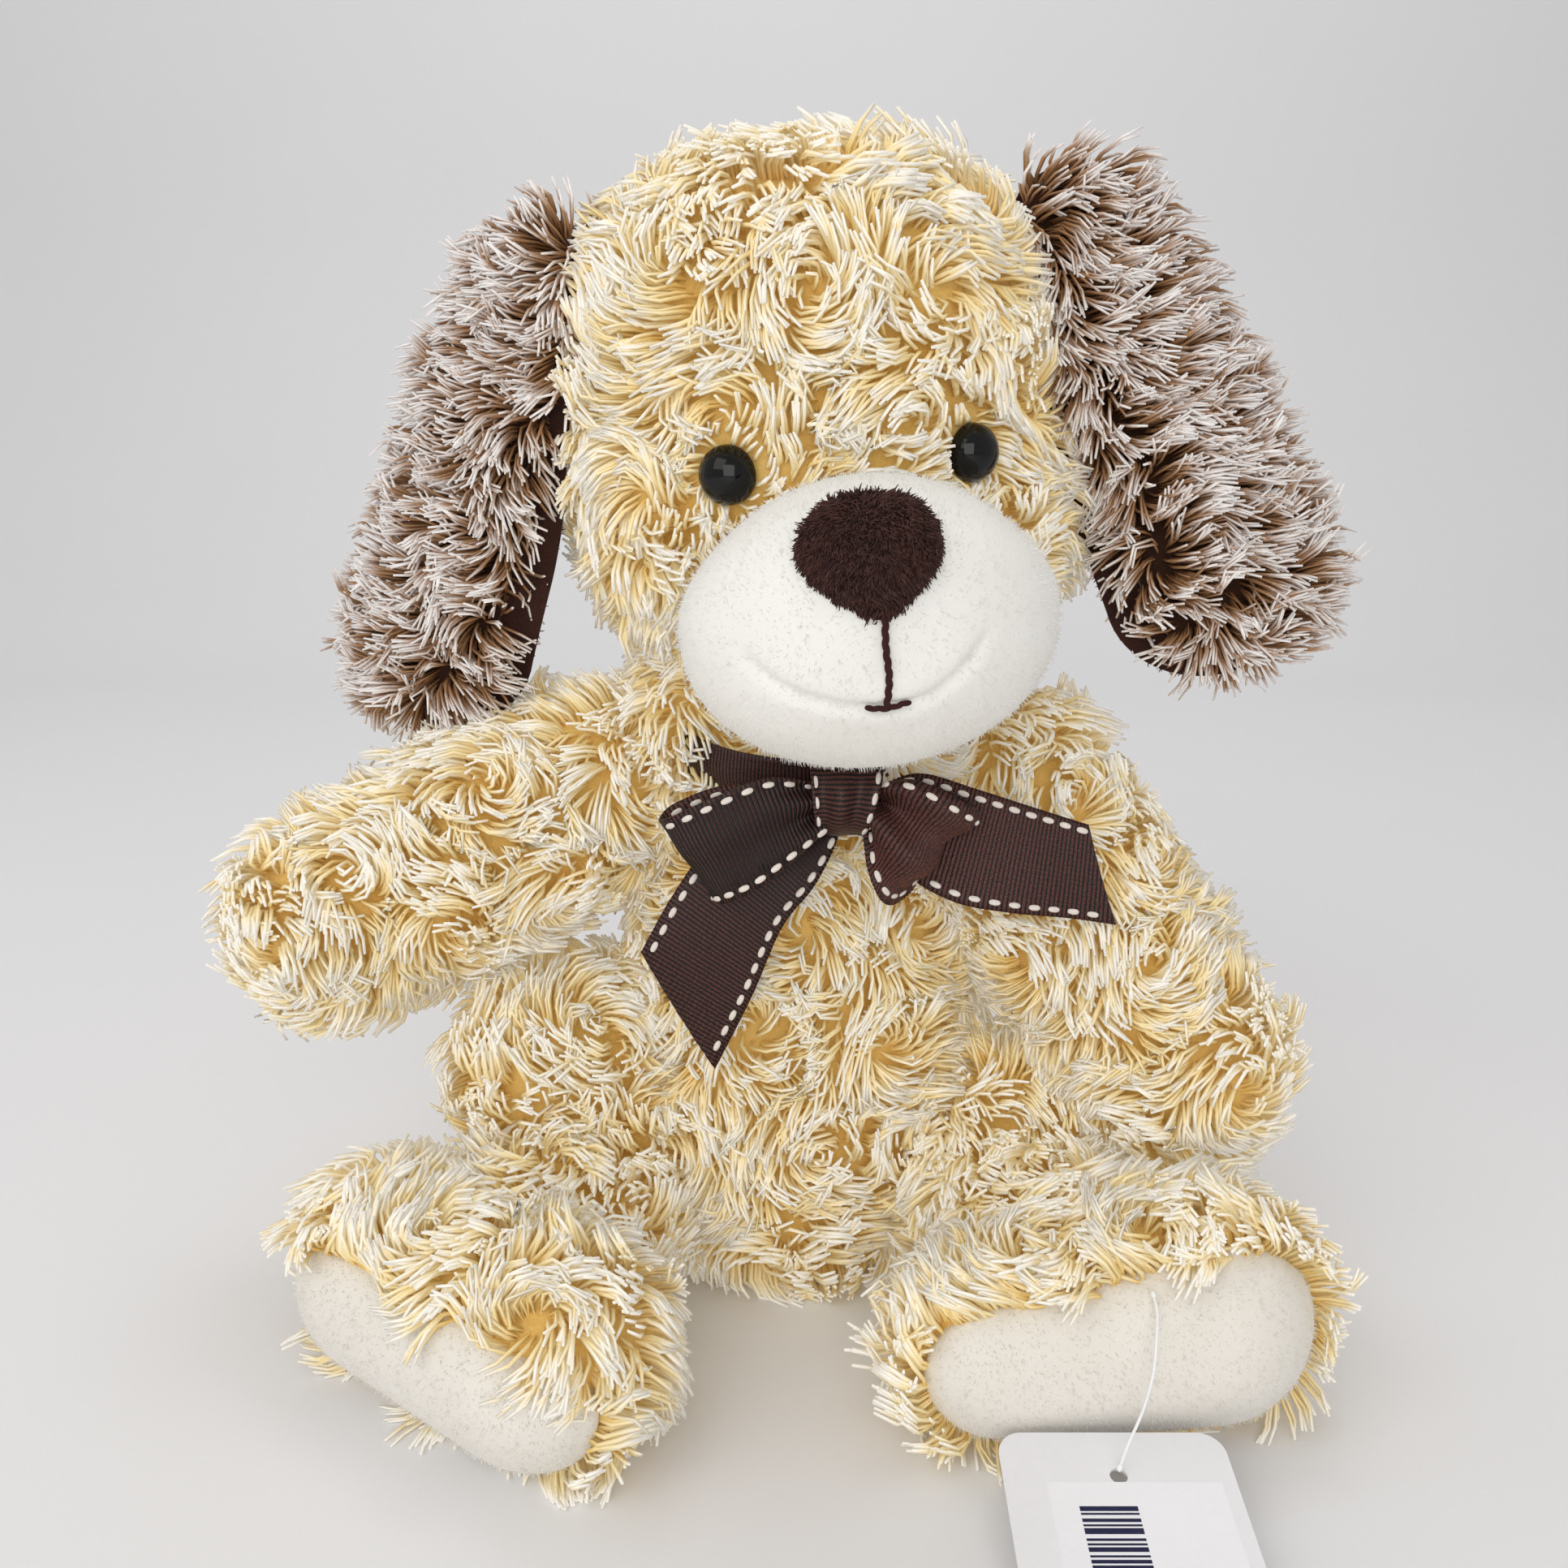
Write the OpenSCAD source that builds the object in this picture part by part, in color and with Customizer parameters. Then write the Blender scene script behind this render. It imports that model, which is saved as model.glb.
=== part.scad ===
// Sewn plush dog, sitting, with a ribbon bow and a swing tag.
// The frame's origin is the centre of the seat's flat underside: +Z up, the dog faces -Y,
// and +X is the dog's own left side. All sizes are in millimetres.

/* [Fabric] */
// Thickness of the fur fabric's backing and dense pile root
wall = 2; // [1.5:0.1:2.5]
// Gap left between a skin and the stuffing inside it
ease = 0.2; // [0.1:0.05:0.3]
// Gap left between the rounded end of a limb and the hollow that it turns in
joint_gap = 0.5; // [0.4:0.05:0.8]

/* [Torso] */
// Radius of the flat underside that the dog sits on
seat_r = 27; // [24:1:30]
// Largest radius of the belly
belly_r = 43; // [41:0.5:45]
// Radius of the torso at its top rim, under the head
neck_r = 26.5; // [25:0.5:28]
// Height of the torso's top rim
rim_z = 157; // [155:0.5:158]

/* [Head] */
// Half the head's width, and half its depth
head_r = 50; // [48:0.5:51]
// Half the head's height
head_half_h = 60; // [58:0.5:61]
// Height of the head's middle above the neck pivot
head_rise = 18; // [17:0.5:19]
// Nod of the head at rest, face down
head_nod = 6; // [0:1:8]
// Lean of the head at rest, towards the dog's right
head_lean = 5; // [0:1:7]
// Turn of the head at rest, towards the dog's left
head_turn = 9; // [0:1:15]

/* [Face] */
// Half the muzzle's width
muzzle_half_w = 37; // [34:0.5:39]
// Half the muzzle's height, and half its depth
muzzle_r = 27.5; // [25:0.5:28]
// Radius of the nose, seen from the front
nose_r = 11.5; // [9:0.5:12.5]
// Half the nose's depth
nose_half_d = 9; // [7:0.5:10]
// Radius of an eye's dome
eye_r = 6; // [5:0.5:7]
// Angle of an eye to either side of the face's middle
eye_angle = 30; // [27:1:33]

/* [Ears] */
// Radius of an ear's rounded top
ear_top_r = 13; // [11:0.5:14]
// Radius of an ear's rounded tip
ear_tip_r = 22; // [19:0.5:23]
// Distance between the middles of an ear's rounded ends
ear_len = 82; // [76:1:86]
// Thickness of an ear's fur outer
ear_outer_t = 3; // [2.5:0.1:3.5]
// Thickness of an ear's lining
ear_lining_t = 1.8; // [1.2:0.1:2]

/* [Limbs] */
// Radius of an arm at the shoulder
shoulder_r = 18; // [17:0.5:19]
// Radius of an arm at the paw
paw_r = 21.5; // [19:0.5:22]
// Radius of a leg at the hip
hip_r = 19.5; // [18:0.5:20]
// Radius of a leg at the ankle
ankle_r = 20; // [18:0.5:20.5]
// Radius of a foot at its broad end
foot_broad_r = 22; // [20:0.5:22]
// Distance between the middles of a foot's rounded ends
foot_len = 44; // [38:1:48]
// Thickness of a foot pad
pad_t = 1.4; // [1:0.1:2]

/* [Ribbon] */
// Width of the bow's ribbon
ribbon_w = 25; // [22:0.5:26]
// Thickness of the ribbon
ribbon_t = 0.8; // [0.6:0.1:1]
// Length of a bow loop from the knot to its fold
loop_len = 33; // [28:1:36]

/* [Swing tag] */
// Width of the card
tag_w = 44; // [36:1:46]
// Length of the card
tag_len = 66; // [55:1:70]
// Thickness of the card
tag_t = 0.6; // [0.5:0.1:0.8]
// Radius of the card's hole
tag_hole_r = 1.7; // [1.5:0.1:2]

/* [Hidden] */
$fn = 72;

// Sides of the dog, as signs of X
left = 1;
right = -1;

// Colours
cream = [0.93, 0.84, 0.60];
brown = [0.50, 0.38, 0.30];
dark_brown = [0.22, 0.13, 0.11];
off_white = [0.94, 0.92, 0.88];
fill_white = [0.97, 0.97, 0.96];

// Pivots, each the middle of a rounded end
neck_pivot = [4, -2, 190];
neck_cup_r = 45.2;
gusset_t = 1.2;
function shoulder(side) = [48 * side, -7, 112];
function hip(side) = [45 * side, -25, 25];
tail_pivot = [0, 45, 24];
tail_root_r = 9;
tail_tip_r = 7;
tail_len = 22;
tail_dir = [0, 0.9, 0.436];

// Middle of each paw, of each foot, and how each foot is turned
function paw(side) = side == left ? [89, -33, 60] : [-110, -22, 93];
function foot(side) = side == left ? [62, -84, 22.8] : [-71, -78, 22.2];
function foot_yaw(side) = side == left ? 8 : -35;
function foot_roll(side) = side == left ? -6 : 3;
function foot_outer_r(side) = side == left ? foot_broad_r : foot_broad_r - 1.5;
function foot_inner_r(side) = side == left ? foot_broad_r - 5 : foot_broad_r - 0.5;
pad_depth = 8;
pad_cut = 120; // side of the block that cuts a pad off behind its depth

// Middle of each ear's rounded top and of its rounded tip, and its turn about its length
function ear_top(side) = side == left ? [63, -10, 248] : [-60, -10, 236];
function ear_tip(side) = side == left ? [98, -24, 175] : [-90, -22, 160];
function ear_yaw(side) = side == left ? 10 : -35;

// Torso outline, as [radius, height] from the seat up
torso_points = [
    [seat_r, 0], [36, 5], [belly_r - 1, 22], [belly_r, 46],
    [belly_r - 4, 76], [34.5, 105], [30, 132], [neck_r, rim_z]
];

// ---- Curves ----

// Point at u (0 to 1) of the smooth curve through p1 and p2, with neighbours p0 and p3
function spline_point(p0, p1, p2, p3, u) =
    0.5 * (2 * p1 + (p2 - p0) * u + (2 * p0 - 5 * p1 + 4 * p2 - p3) * u * u
        + (3 * p1 - p0 - 3 * p2 + p3) * u * u * u);

// Smooth curve through a list of points, with steps stretches between neighbours
function spline(p, steps) = let (last = len(p) - 1) concat(
    [for (i = [0 : last - 1], j = [0 : steps - 1])
        spline_point(p[max(i - 1, 0)], p[i], p[i + 1], p[min(i + 2, last)], j / steps)],
    [p[last]]
);

// Half outline of a round-ended form: radius r1 at the start, r2 at distance len along Y
function round_ended(r1, r2, len, steps = 12) = let (t = acos((r1 - r2) / len)) concat(
    [for (i = [0 : steps]) let (a = 180 - (180 - t) * i / steps) [r1 * sin(a), r1 * cos(a)]],
    [for (i = [0 : steps]) let (a = t * (1 - i / steps)) [r2 * sin(a), len + r2 * cos(a)]]
);

// Half outline of an oval; upper and lower set how square its two halves are (2 is an ellipse)
function oval(r, half_h, lower = 2, upper = 2) = [
    for (a = [-90 : 5 : 90]) let (n = 2 / (a < 0 ? lower : upper), c = cos(a), s = abs(sin(a)))
        [r * pow(c, n), sign(a) * half_h * pow(s, n)]
];

// ---- Shared shapes ----

module turned(outline) {
    rotate_extrude() polygon(outline);
}

// Oval of revolution about Z
module ovoid(r, half_h, lower = 2, upper = 2) {
    turned(oval(r, half_h, lower, upper));
}

// Oval of revolution about X
module wide_ovoid(r, half_w) {
    rotate([0, 90, 0]) ovoid(r, half_w);
}

// Round-ended limb from a to b; grow thickens it, and may be negative
module limb(a, b, r1, r2, grow = 0) {
    v = b - a;
    translate(a)
        rotate([0, acos(v[2] / norm(v)), atan2(v[1], v[0])])
            turned(round_ended(r1 + grow, r2 + grow, norm(v)));
}

module head_frame() {
    translate(neck_pivot) rotate([head_nod, -head_lean, head_turn]) children();
}

// Head's outer form; grow is negative for its inside
module head_form(grow = 0) {
    translate([0, 0, head_rise]) ovoid(head_r + grow, head_half_h + grow, 2, 3);
}

muzzle_at = [-2, -64.5, -15];
module muzzle_form(grow = 0) {
    translate(muzzle_at) wide_ovoid(muzzle_r + grow, muzzle_half_w + grow);
}

nose_at = [-5, -85.5, 4];
module nose_form(grow = 0) {
    translate(nose_at) rotate([90, 0, 0]) ovoid(nose_r + grow, nose_half_d + grow);
}

// Frame of an eye: +Z points out of the face, and z = 0 is the head's surface
eye_z = 13.5;
module eye_frame(side) {
    head_frame()
        translate([0, 0, eye_z]) rotate([0, 0, eye_angle * side])
            translate([0, -head_r + 0.1, 0]) rotate([90, 0, 0]) children();
}

module torso_form(inset = 0) {
    curve = spline(torso_points, 4);
    turned(concat(
        [[0, inset]],
        [for (p = curve) if (p[1] >= inset) [p[0] - inset, p[1]]],
        [[0, rim_z]]
    ));
}

// Every hollow that a limb, the tail or the head turns in
module sockets() {
    for (side = [left, right]) {
        translate(shoulder(side)) sphere(shoulder_r + joint_gap);
        translate(hip(side)) sphere(hip_r + joint_gap);
    }
    translate(tail_pivot) sphere(tail_root_r + joint_gap);
    translate(neck_pivot) sphere(neck_cup_r);
}

module arm_form(side, grow = 0) {
    limb(shoulder(side), paw(side), shoulder_r, paw_r, grow);
}

module foot_frame(side) {
    translate(foot(side)) rotate([0, foot_roll(side), foot_yaw(side)]) children();
}

module foot_form(side, grow = 0) {
    foot_frame(side)
        limb([-side * foot_len / 2, 0, 0], [side * foot_len / 2, 0, 0],
            foot_inner_r(side), foot_outer_r(side), grow);
}

module leg_form(side, grow = 0) {
    limb(hip(side), foot(side), hip_r, ankle_r, grow);
    foot_form(side, grow);
}

// ---- Torso ----

pellet_r = 17;
pellet_half_h = 8;
module pellet_form(grow = 0) {
    translate([0, 0, wall + pellet_half_h + 1]) ovoid(pellet_r + grow, pellet_half_h + grow);
}

module torso_skin() {
    color(cream) difference() {
        torso_form();
        torso_form(wall);
        sockets();
    }
}

module torso_stuffing() {
    color(fill_white) difference() {
        torso_form(wall + ease);
        sockets();
        pellet_form(ease);
    }
}

module pellet_bag() {
    color(off_white) pellet_form();
}

// Ring of fabric in the neck seam, between the head and the torso's cup
gusset_low = 148.5;
gusset_high = 153.5;
gusset_hole_r = 9;
module neck_gusset() {
    outer_r = neck_cup_r - joint_gap;
    color(cream) difference() {
        intersection() {
            translate(neck_pivot) sphere(outer_r);
            translate([neck_pivot[0], neck_pivot[1], 0]) cylinder(r = outer_r, h = gusset_high);
        }
        translate(neck_pivot) sphere(outer_r - gusset_t);
        translate([neck_pivot[0], neck_pivot[1], 0]) cylinder(r = gusset_hole_r, h = gusset_low);
    }
}

// ---- Head ----

stem_r = 2;
stem_len = 11;
washer_r = 6.5;
washer_t = 1.5;
washer_low = -wall - washer_t - 0.8;
eye_hole_over = 5; // how far an eye's hole is cut past the head's surface

module head_skin() {
    color(cream) difference() {
        head_frame() head_form();
        head_frame() head_form(-wall);
        for (side = [left, right])
            eye_frame(side) translate([0, 0, -stem_len]) cylinder(r = stem_r + ease, h = stem_len + eye_hole_over);
    }
}

module head_stuffing() {
    color(fill_white) difference() {
        head_frame() head_form(-wall - ease);
        for (side = [left, right])
            eye_frame(side) translate([0, 0, -stem_len - 1]) cylinder(r = washer_r + ease, h = stem_len + eye_hole_over);
    }
}

module muzzle_skin() {
    color(off_white) difference() {
        head_frame() muzzle_form();
        head_frame() muzzle_form(-wall);
        head_frame() head_form(ease);
    }
}

module muzzle_stuffing() {
    color(fill_white) difference() {
        head_frame() muzzle_form(-wall - ease);
        head_frame() head_form(ease);
    }
}

module nose() {
    color(dark_brown) difference() {
        head_frame() nose_form();
        head_frame() muzzle_form(ease);
    }
}

// Stitched line down from the nose and the short bar under it
stitch_w = 1.6;
stitch_raise = 0.9;
stitch_len = 19;
mouth_bar_w = 7;
mouth_far_y = -100; // in front of the muzzle
mouth_cut_depth = 40;
module mouth_stitching() {
    low = nose_at[2] - nose_r - stitch_len;
    color(dark_brown) difference() {
        intersection() {
            head_frame() muzzle_form(stitch_raise);
            head_frame() {
                translate([nose_at[0] - stitch_w / 2, mouth_far_y, low])
                    cube([stitch_w, mouth_cut_depth, stitch_len + nose_r / 2]);
                translate([nose_at[0] - mouth_bar_w / 2, mouth_far_y, low])
                    cube([mouth_bar_w, mouth_cut_depth, stitch_w]);
            }
        }
        head_frame() muzzle_form(ease / 2);
        head_frame() nose_form(ease / 2);
    }
}

// Domed safety eye on its stem
eye_lift = 2;
eye_dome_h = 5.5;
module eye(side) {
    color([0.05, 0.05, 0.05]) eye_frame(side) turned(concat(
        [[0, -stem_len], [stem_r, -stem_len], [stem_r, eye_lift - 0.6], [eye_r - 0.8, eye_lift - 0.6]],
        [for (a = [0 : 9 : 90]) [eye_r * cos(a), eye_lift + eye_dome_h * sin(a)]]
    ));
}

module eye_washer(side) {
    color("white") eye_frame(side) translate([0, 0, washer_low]) difference() {
        cylinder(r = washer_r, h = washer_t);
        translate([0, 0, -1]) cylinder(r = stem_r + 0.05, h = washer_t + 2);
    }
}

// ---- Ears ----

// Flat leaf of an ear: its length runs down from the top, and +Y is behind it
module ear_leaf(side, front, depth) {
    v = ear_tip(side) - ear_top(side);
    half = round_ended(ear_top_r, ear_tip_r, ear_len, 14);
    translate(ear_top(side))
        rotate([0, 0, ear_yaw(side)])
            rotate([asin(v[1] / norm(v)), -atan2(side * norm([v[0], 0]), -v[2]), 0])
                translate([0, front + depth, 0]) rotate([90, 0, 0]) linear_extrude(height = depth)
                    mirror([0, 1]) polygon(concat(
                        half, [for (i = [len(half) - 2 : -1 : 1]) [-half[i][0], half[i][1]]]
                    ));
}

module ear_outer(side) {
    color(brown) ear_leaf(side, -ear_outer_t, ear_outer_t);
}

module ear_lining(side) {
    color(dark_brown) ear_leaf(side, 0.1, ear_lining_t);
}

// ---- Limbs ----

module arm_skin(side) {
    color(cream) difference() {
        arm_form(side);
        arm_form(side, -wall);
    }
}

module arm_stuffing(side) {
    color(fill_white) arm_form(side, -wall - ease);
}

module leg_skin(side) {
    color(cream) difference() {
        leg_form(side);
        leg_form(side, -wall);
    }
}

module leg_stuffing(side) {
    color(fill_white) leg_form(side, -wall - ease);
}

module foot_pad(side) {
    color(off_white) difference() {
        foot_form(side, pad_t);
        leg_form(side, ease / 2);
        foot_frame(side) translate([-pad_cut / 2, -pad_depth, -pad_cut / 2]) cube(pad_cut);
    }
}

module tail_form(grow = 0) {
    limb(tail_pivot, tail_pivot + tail_len * tail_dir, tail_root_r, tail_tip_r, grow);
}

module tail_skin() {
    color(cream) difference() {
        tail_form();
        tail_form(-wall);
    }
}

module tail_stuffing() {
    color(fill_white) tail_form(-wall - ease);
}

// ---- Ribbon ----

knot_at = [11, -51, 127];
knot_size = [15, 13, 17];
tail_front = -46.4;
tail_root_half = 4;
loop_y = -52.5;
loop_gap = 0.2;
loop_depth_r = 5;
loop_root_r = 1.6;
band_r = 35.5;
band_w = 10;
band_t = 1.2;
band_at = [0, -6, 141];
band_tilt = 15;

module neck_ribbon() {
    color(dark_brown) translate(band_at) rotate([band_tilt, 0, 0]) difference() {
        translate([0, 0, -band_w / 2]) cylinder(r = band_r + band_t, h = band_w);
        translate([0, 0, -band_w]) cylinder(r = band_r, h = 2 * band_w);
    }
}

// Rounded knot: a barrel along the ribbon that wraps it
module bow_knot() {
    color(dark_brown) translate(knot_at) rotate([0, 90, 0]) intersection() {
        translate([0, 0, -knot_size[0] / 2]) cylinder(r = knot_size[2] / 2, h = knot_size[0]);
        translate(-[knot_size[2], knot_size[1], knot_size[0]] / 2)
            cube([knot_size[2], knot_size[1], knot_size[0]]);
    }
}

// Each loop's fall, its width where the ribbon is crumpled, and its length
function loop_angle(side) = side == left ? 48 : 23;
function loop_w(side) = side == left ? 18 : 22;
function loop_reach(side) = side == left ? loop_len - 7 : loop_len;

// Loop of ribbon from the knot's side: a round-ended ring
module bow_loop(side) {
    r1 = loop_root_r;
    r2 = loop_depth_r;
    width = loop_w(side);
    run = loop_reach(side) - r1 - r2;
    outer = round_ended(r1, r2, run);
    inner = round_ended(r1 - ribbon_t, r2 - ribbon_t, run);
    color(dark_brown)
        translate([knot_at[0] + side * (knot_size[0] / 2 + r1 + loop_gap), loop_y, knot_at[2]])
            rotate([0, side * loop_angle(side), 0]) rotate([0, 0, -90 * side])
                translate([0, 0, -width / 2]) linear_extrude(height = width) difference() {
                    polygon(concat(outer, [for (i = [len(outer) - 2 : -1 : 1]) [-outer[i][0], outer[i][1]]]));
                    polygon(concat(inner, [for (i = [len(inner) - 2 : -1 : 1]) [-inner[i][0], inner[i][1]]]));
                }
}

// Where each tail reaches full width (X and Z), its fall, and the lengths of its two edges
function tail_start(side) = side == left ? [26, 122.5] : [-6, 122];
function tail_angle(side) = side == left ? 15 : 65;
function tail_short(side) = side == left ? 36 : 40;
function tail_long(side) = side == left ? 48 : 57;

// Free end of the ribbon: it fans out from the knot's side, and its end is cut on a slant
module bow_tail(side) {
    root_x = knot_at[0] + side * (knot_size[0] / 2 + loop_gap);
    start = tail_start(side);
    angle = tail_angle(side);
    dir = [side * cos(angle), -sin(angle)];
    across = [side * sin(angle), cos(angle)];
    h = ribbon_w / 2;
    color(dark_brown) translate([0, tail_front + ribbon_t, 0]) rotate([90, 0, 0])
        linear_extrude(height = ribbon_t) polygon([
            [root_x, knot_at[2] + tail_root_half], start + across * h,
            start + dir * tail_short(side) + across * h, start + dir * tail_long(side) - across * h,
            start - across * h, [root_x, knot_at[2] - tail_root_half]
        ]);
}

// ---- Swing tag ----

tag_hole_at = [60, -116, 11.5];
tag_hole_inset = 10;
tag_corner_r = 5;
tag_tilt = 10.6;
tag_loop_d = 0.6;

// Centreline of the clear filament, from the foot pad's upper edge to the hole in the card
tag_loop_route = [
    [69, -100, 40], [69, -103.5, 38], [68, -107.5, 34], [67, -110, 29], [65, -112, 23], [62, -114, 17],
    [60.3, -115.4, 13]
];

module swing_tag() {
    inner_w = tag_w - 2 * tag_corner_r;
    inner_len = tag_len - 2 * tag_corner_r;
    color("white") translate(tag_hole_at) rotate([tag_tilt, 0, 0])
        translate([0, tag_hole_inset - tag_len / 2, -tag_t / 2]) difference() {
            linear_extrude(height = tag_t) {
                square([inner_w, tag_len], center = true);
                square([tag_w, inner_len], center = true);
                for (x = [-1, 1], y = [-1, 1])
                    translate([x * inner_w / 2, y * inner_len / 2]) circle(tag_corner_r);
            }
            translate([0, tag_len / 2 - tag_hole_inset, -1]) cylinder(r = tag_hole_r, h = tag_t + 2);
        }
}

// Tube along a route: a ring of points square to the route at each of its points
tube_sides = 8;
function along(p, i) = let (d = p[min(i + 1, len(p) - 1)] - p[max(i - 1, 0)]) d / norm(d);
function square_to(d) = let (c = cross(d, [1, 0, 0])) c / norm(c);
module tube(p, r) {
    n = len(p);
    rings = [for (i = [0 : n - 1]) let (d = along(p, i), u = square_to(d), v = cross(d, u))
        for (k = [0 : tube_sides - 1]) p[i] + r * (cos(k * 360 / tube_sides) * u + sin(k * 360 / tube_sides) * v)];
    sides = [for (i = [0 : n - 2], k = [0 : tube_sides - 1]) let (m = (k + 1) % tube_sides, a = i * tube_sides)
        [a + k, a + tube_sides + k, a + tube_sides + m, a + m]];
    ends = [[for (k = [0 : tube_sides - 1]) k], [for (k = [tube_sides - 1 : -1 : 0]) (n - 1) * tube_sides + k]];
    polyhedron(rings, concat(sides, ends));
}

module tag_loop() {
    color([0.9, 0.92, 0.95]) tube(spline(tag_loop_route, 3), tag_loop_d / 2);
}

torso_skin();
torso_stuffing();
pellet_bag();
neck_gusset();
head_skin();
head_stuffing();
muzzle_skin();
muzzle_stuffing();
nose();
mouth_stitching();
eye(left);  // eye_left
eye(right);  // eye_right
eye_washer(left);  // eye_washer_left
eye_washer(right);  // eye_washer_right
ear_outer(left);  // ear_left_outer
ear_lining(left);  // ear_left_lining
ear_outer(right);  // ear_right_outer
ear_lining(right);  // ear_right_lining
arm_skin(left);  // arm_left_skin
arm_stuffing(left);  // arm_left_stuffing
arm_skin(right);  // arm_right_skin
arm_stuffing(right);  // arm_right_stuffing
leg_skin(left);  // leg_left_skin
leg_stuffing(left);  // leg_left_stuffing
foot_pad(left);  // foot_left_pad
leg_skin(right);  // leg_right_skin
leg_stuffing(right);  // leg_right_stuffing
foot_pad(right);  // foot_right_pad
tail_skin();
tail_stuffing();
neck_ribbon();
bow_knot();
bow_loop(left);  // bow_loop_left
bow_loop(right);  // bow_loop_right
bow_tail(left);  // bow_tail_left
bow_tail(right);  // bow_tail_right
tag_loop();
swing_tag();
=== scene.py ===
"""Looks of the sewn plush dog: fur, fleece, ribbon bow and swing tag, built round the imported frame.

Lengths inside the shape functions are millimetres in the row frame: +Z up, the dog faces -Y,
and +X is the dog's own left. A mesh is turned to metres only when it is written.
"""

import bmesh
import bpy
import numpy as np
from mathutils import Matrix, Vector


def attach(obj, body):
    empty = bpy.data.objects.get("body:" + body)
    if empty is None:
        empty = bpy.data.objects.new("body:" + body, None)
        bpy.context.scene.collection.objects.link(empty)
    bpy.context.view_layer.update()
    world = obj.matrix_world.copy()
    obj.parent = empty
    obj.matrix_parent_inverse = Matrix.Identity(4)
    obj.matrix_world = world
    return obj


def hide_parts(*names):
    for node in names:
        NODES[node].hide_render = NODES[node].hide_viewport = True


bl_info = {
    "name": "Plush Dog",
    "version": (1, 0, 0),
    "blender": (4, 5, 0),
    "location": "3D View > Sidebar > Plush Dog",
    "description": "Builds the fur, fleece, ribbon bow and swing tag of a sewn plush dog",
    "category": "Add Mesh",
}

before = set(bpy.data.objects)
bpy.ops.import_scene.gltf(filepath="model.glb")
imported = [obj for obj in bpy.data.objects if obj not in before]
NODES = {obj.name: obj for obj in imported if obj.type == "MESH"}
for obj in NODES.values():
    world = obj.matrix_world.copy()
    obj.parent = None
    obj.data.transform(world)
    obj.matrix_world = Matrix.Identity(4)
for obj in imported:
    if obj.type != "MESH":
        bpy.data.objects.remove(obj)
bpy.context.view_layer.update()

MM = 0.001
LEFT, RIGHT = 1, -1
SIDES = {LEFT: "left", RIGHT: "right"}
FLOOR_CLEARANCE = 0.5


# ---- Frames and forms ----

# Joints, frames and most radii are the part's own. The crown, cheeks, neck swell, upper arms, thighs,
# pad tops, nose centre and ear radii are the looks' own, and stand up to 34 mm outside the part's solids.

def turn(x_deg, y_deg, z_deg):
    """Rotation about X, then Y, then Z, by angles in degrees."""
    (cx, cy, cz), (sx, sy, sz) = (f(np.radians([x_deg, y_deg, z_deg])) for f in (np.cos, np.sin))
    about_x = np.array([[1, 0, 0], [0, cx, -sx], [0, sx, cx]])
    about_y = np.array([[cy, 0, sy], [0, 1, 0], [-sy, 0, cy]])
    about_z = np.array([[cz, -sz, 0], [sz, cz, 0], [0, 0, 1]])
    return about_z @ about_y @ about_x


class Place:
    """A turned and moved frame: out() takes points from it to the row frame, and back() brings them in."""

    def __init__(self, at, rotation):
        self.at, self.rotation = np.array(at, float), rotation

    def out(self, p):
        """Points of this frame in the row frame."""
        return p @ self.rotation.T + self.at

    def back(self, p):
        """Points of the row frame in this one."""
        return (p - self.at) @ self.rotation


HEAD = Place((4, -2, 190), turn(6, -5, 9))
HEAD_CENTRE, HEAD_R, HEAD_HALF_H = np.array([0, 0, 18.0]), 50.0, 60.0
HEAD_CROWN = 0.93
CHEEK, CHEEK_DROP, CHEEK_SPAN = {1: 15.0, -1: 7.0}, 36.0, 24.0
MUZZLE_CENTRE, MUZZLE_RADII = np.array([-2, -64.5, -15.0]), np.array([38.5, 28.8, 28.8])
NOSE_CENTRE = np.array([-5.5, -86.0, 1.8])
EYE_Z, EYE_ANGLE, EYE_R, EYE_LIFT, EYE_DOME = 13.5, 30.0, 6.2, 1.6, 5.6
SHOULDER = {s: np.array([48.0 * s, -7, 112]) for s in SIDES}
HIP = {s: np.array([45.0 * s, -25, 25]) for s in SIDES}
PAW = {LEFT: np.array([89.0, -33, 60]), RIGHT: np.array([-110.0, -22, 93])}
PAW_R, HIP_R, ANKLE_R = 21.5, 19.5, 20.0
FOOT = {
    LEFT: Place((62, -84, 22.8), turn(0, -6, 8)),
    RIGHT: Place((-71, -78, 22.2), turn(0, 3, -35)),
}
FOOT_HALF = 22.0
FOOT_OUTER_R = {LEFT: 22.0, RIGHT: 20.5}
FOOT_INNER_R = {LEFT: 17.0, RIGHT: 21.5}
PAD_DEPTH = 8.0
PAD_TOP = {LEFT: 0.8, RIGHT: 0.5}
NECK_SWELL = 9.5
UPPER_ARM = {s: SHOULDER[s] + np.array([4.0 * s, 0, 7.0]) for s in SIDES}
UPPER_ARM_R = 21.5
THIGH, THIGH_R = {LEFT: np.array([56.0, -26, 36]), RIGHT: np.array([-57.0, -20, 51])}, {LEFT: 21.0,
                                                                                        RIGHT: 24.5}
TAIL_ROOT, TAIL_TIP = np.array([0.0, 45, 24]), np.array([0, 64.8, 33.6])
TAIL_ROOT_R, TAIL_TIP_R = 9.0, 7.0
EAR_TOP = {LEFT: np.array([63.0, -10, 248]), RIGHT: np.array([-60.0, -10, 236])}
EAR_TIP = {LEFT: np.array([98.0, -24, 175]), RIGHT: np.array([-90.0, -22, 160])}
EAR_YAW = {LEFT: 10.0, RIGHT: -35.0}
EAR_LEN, EAR_TOP_R, EAR_TIP_R = 82.0, 15.0, 20.5
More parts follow.
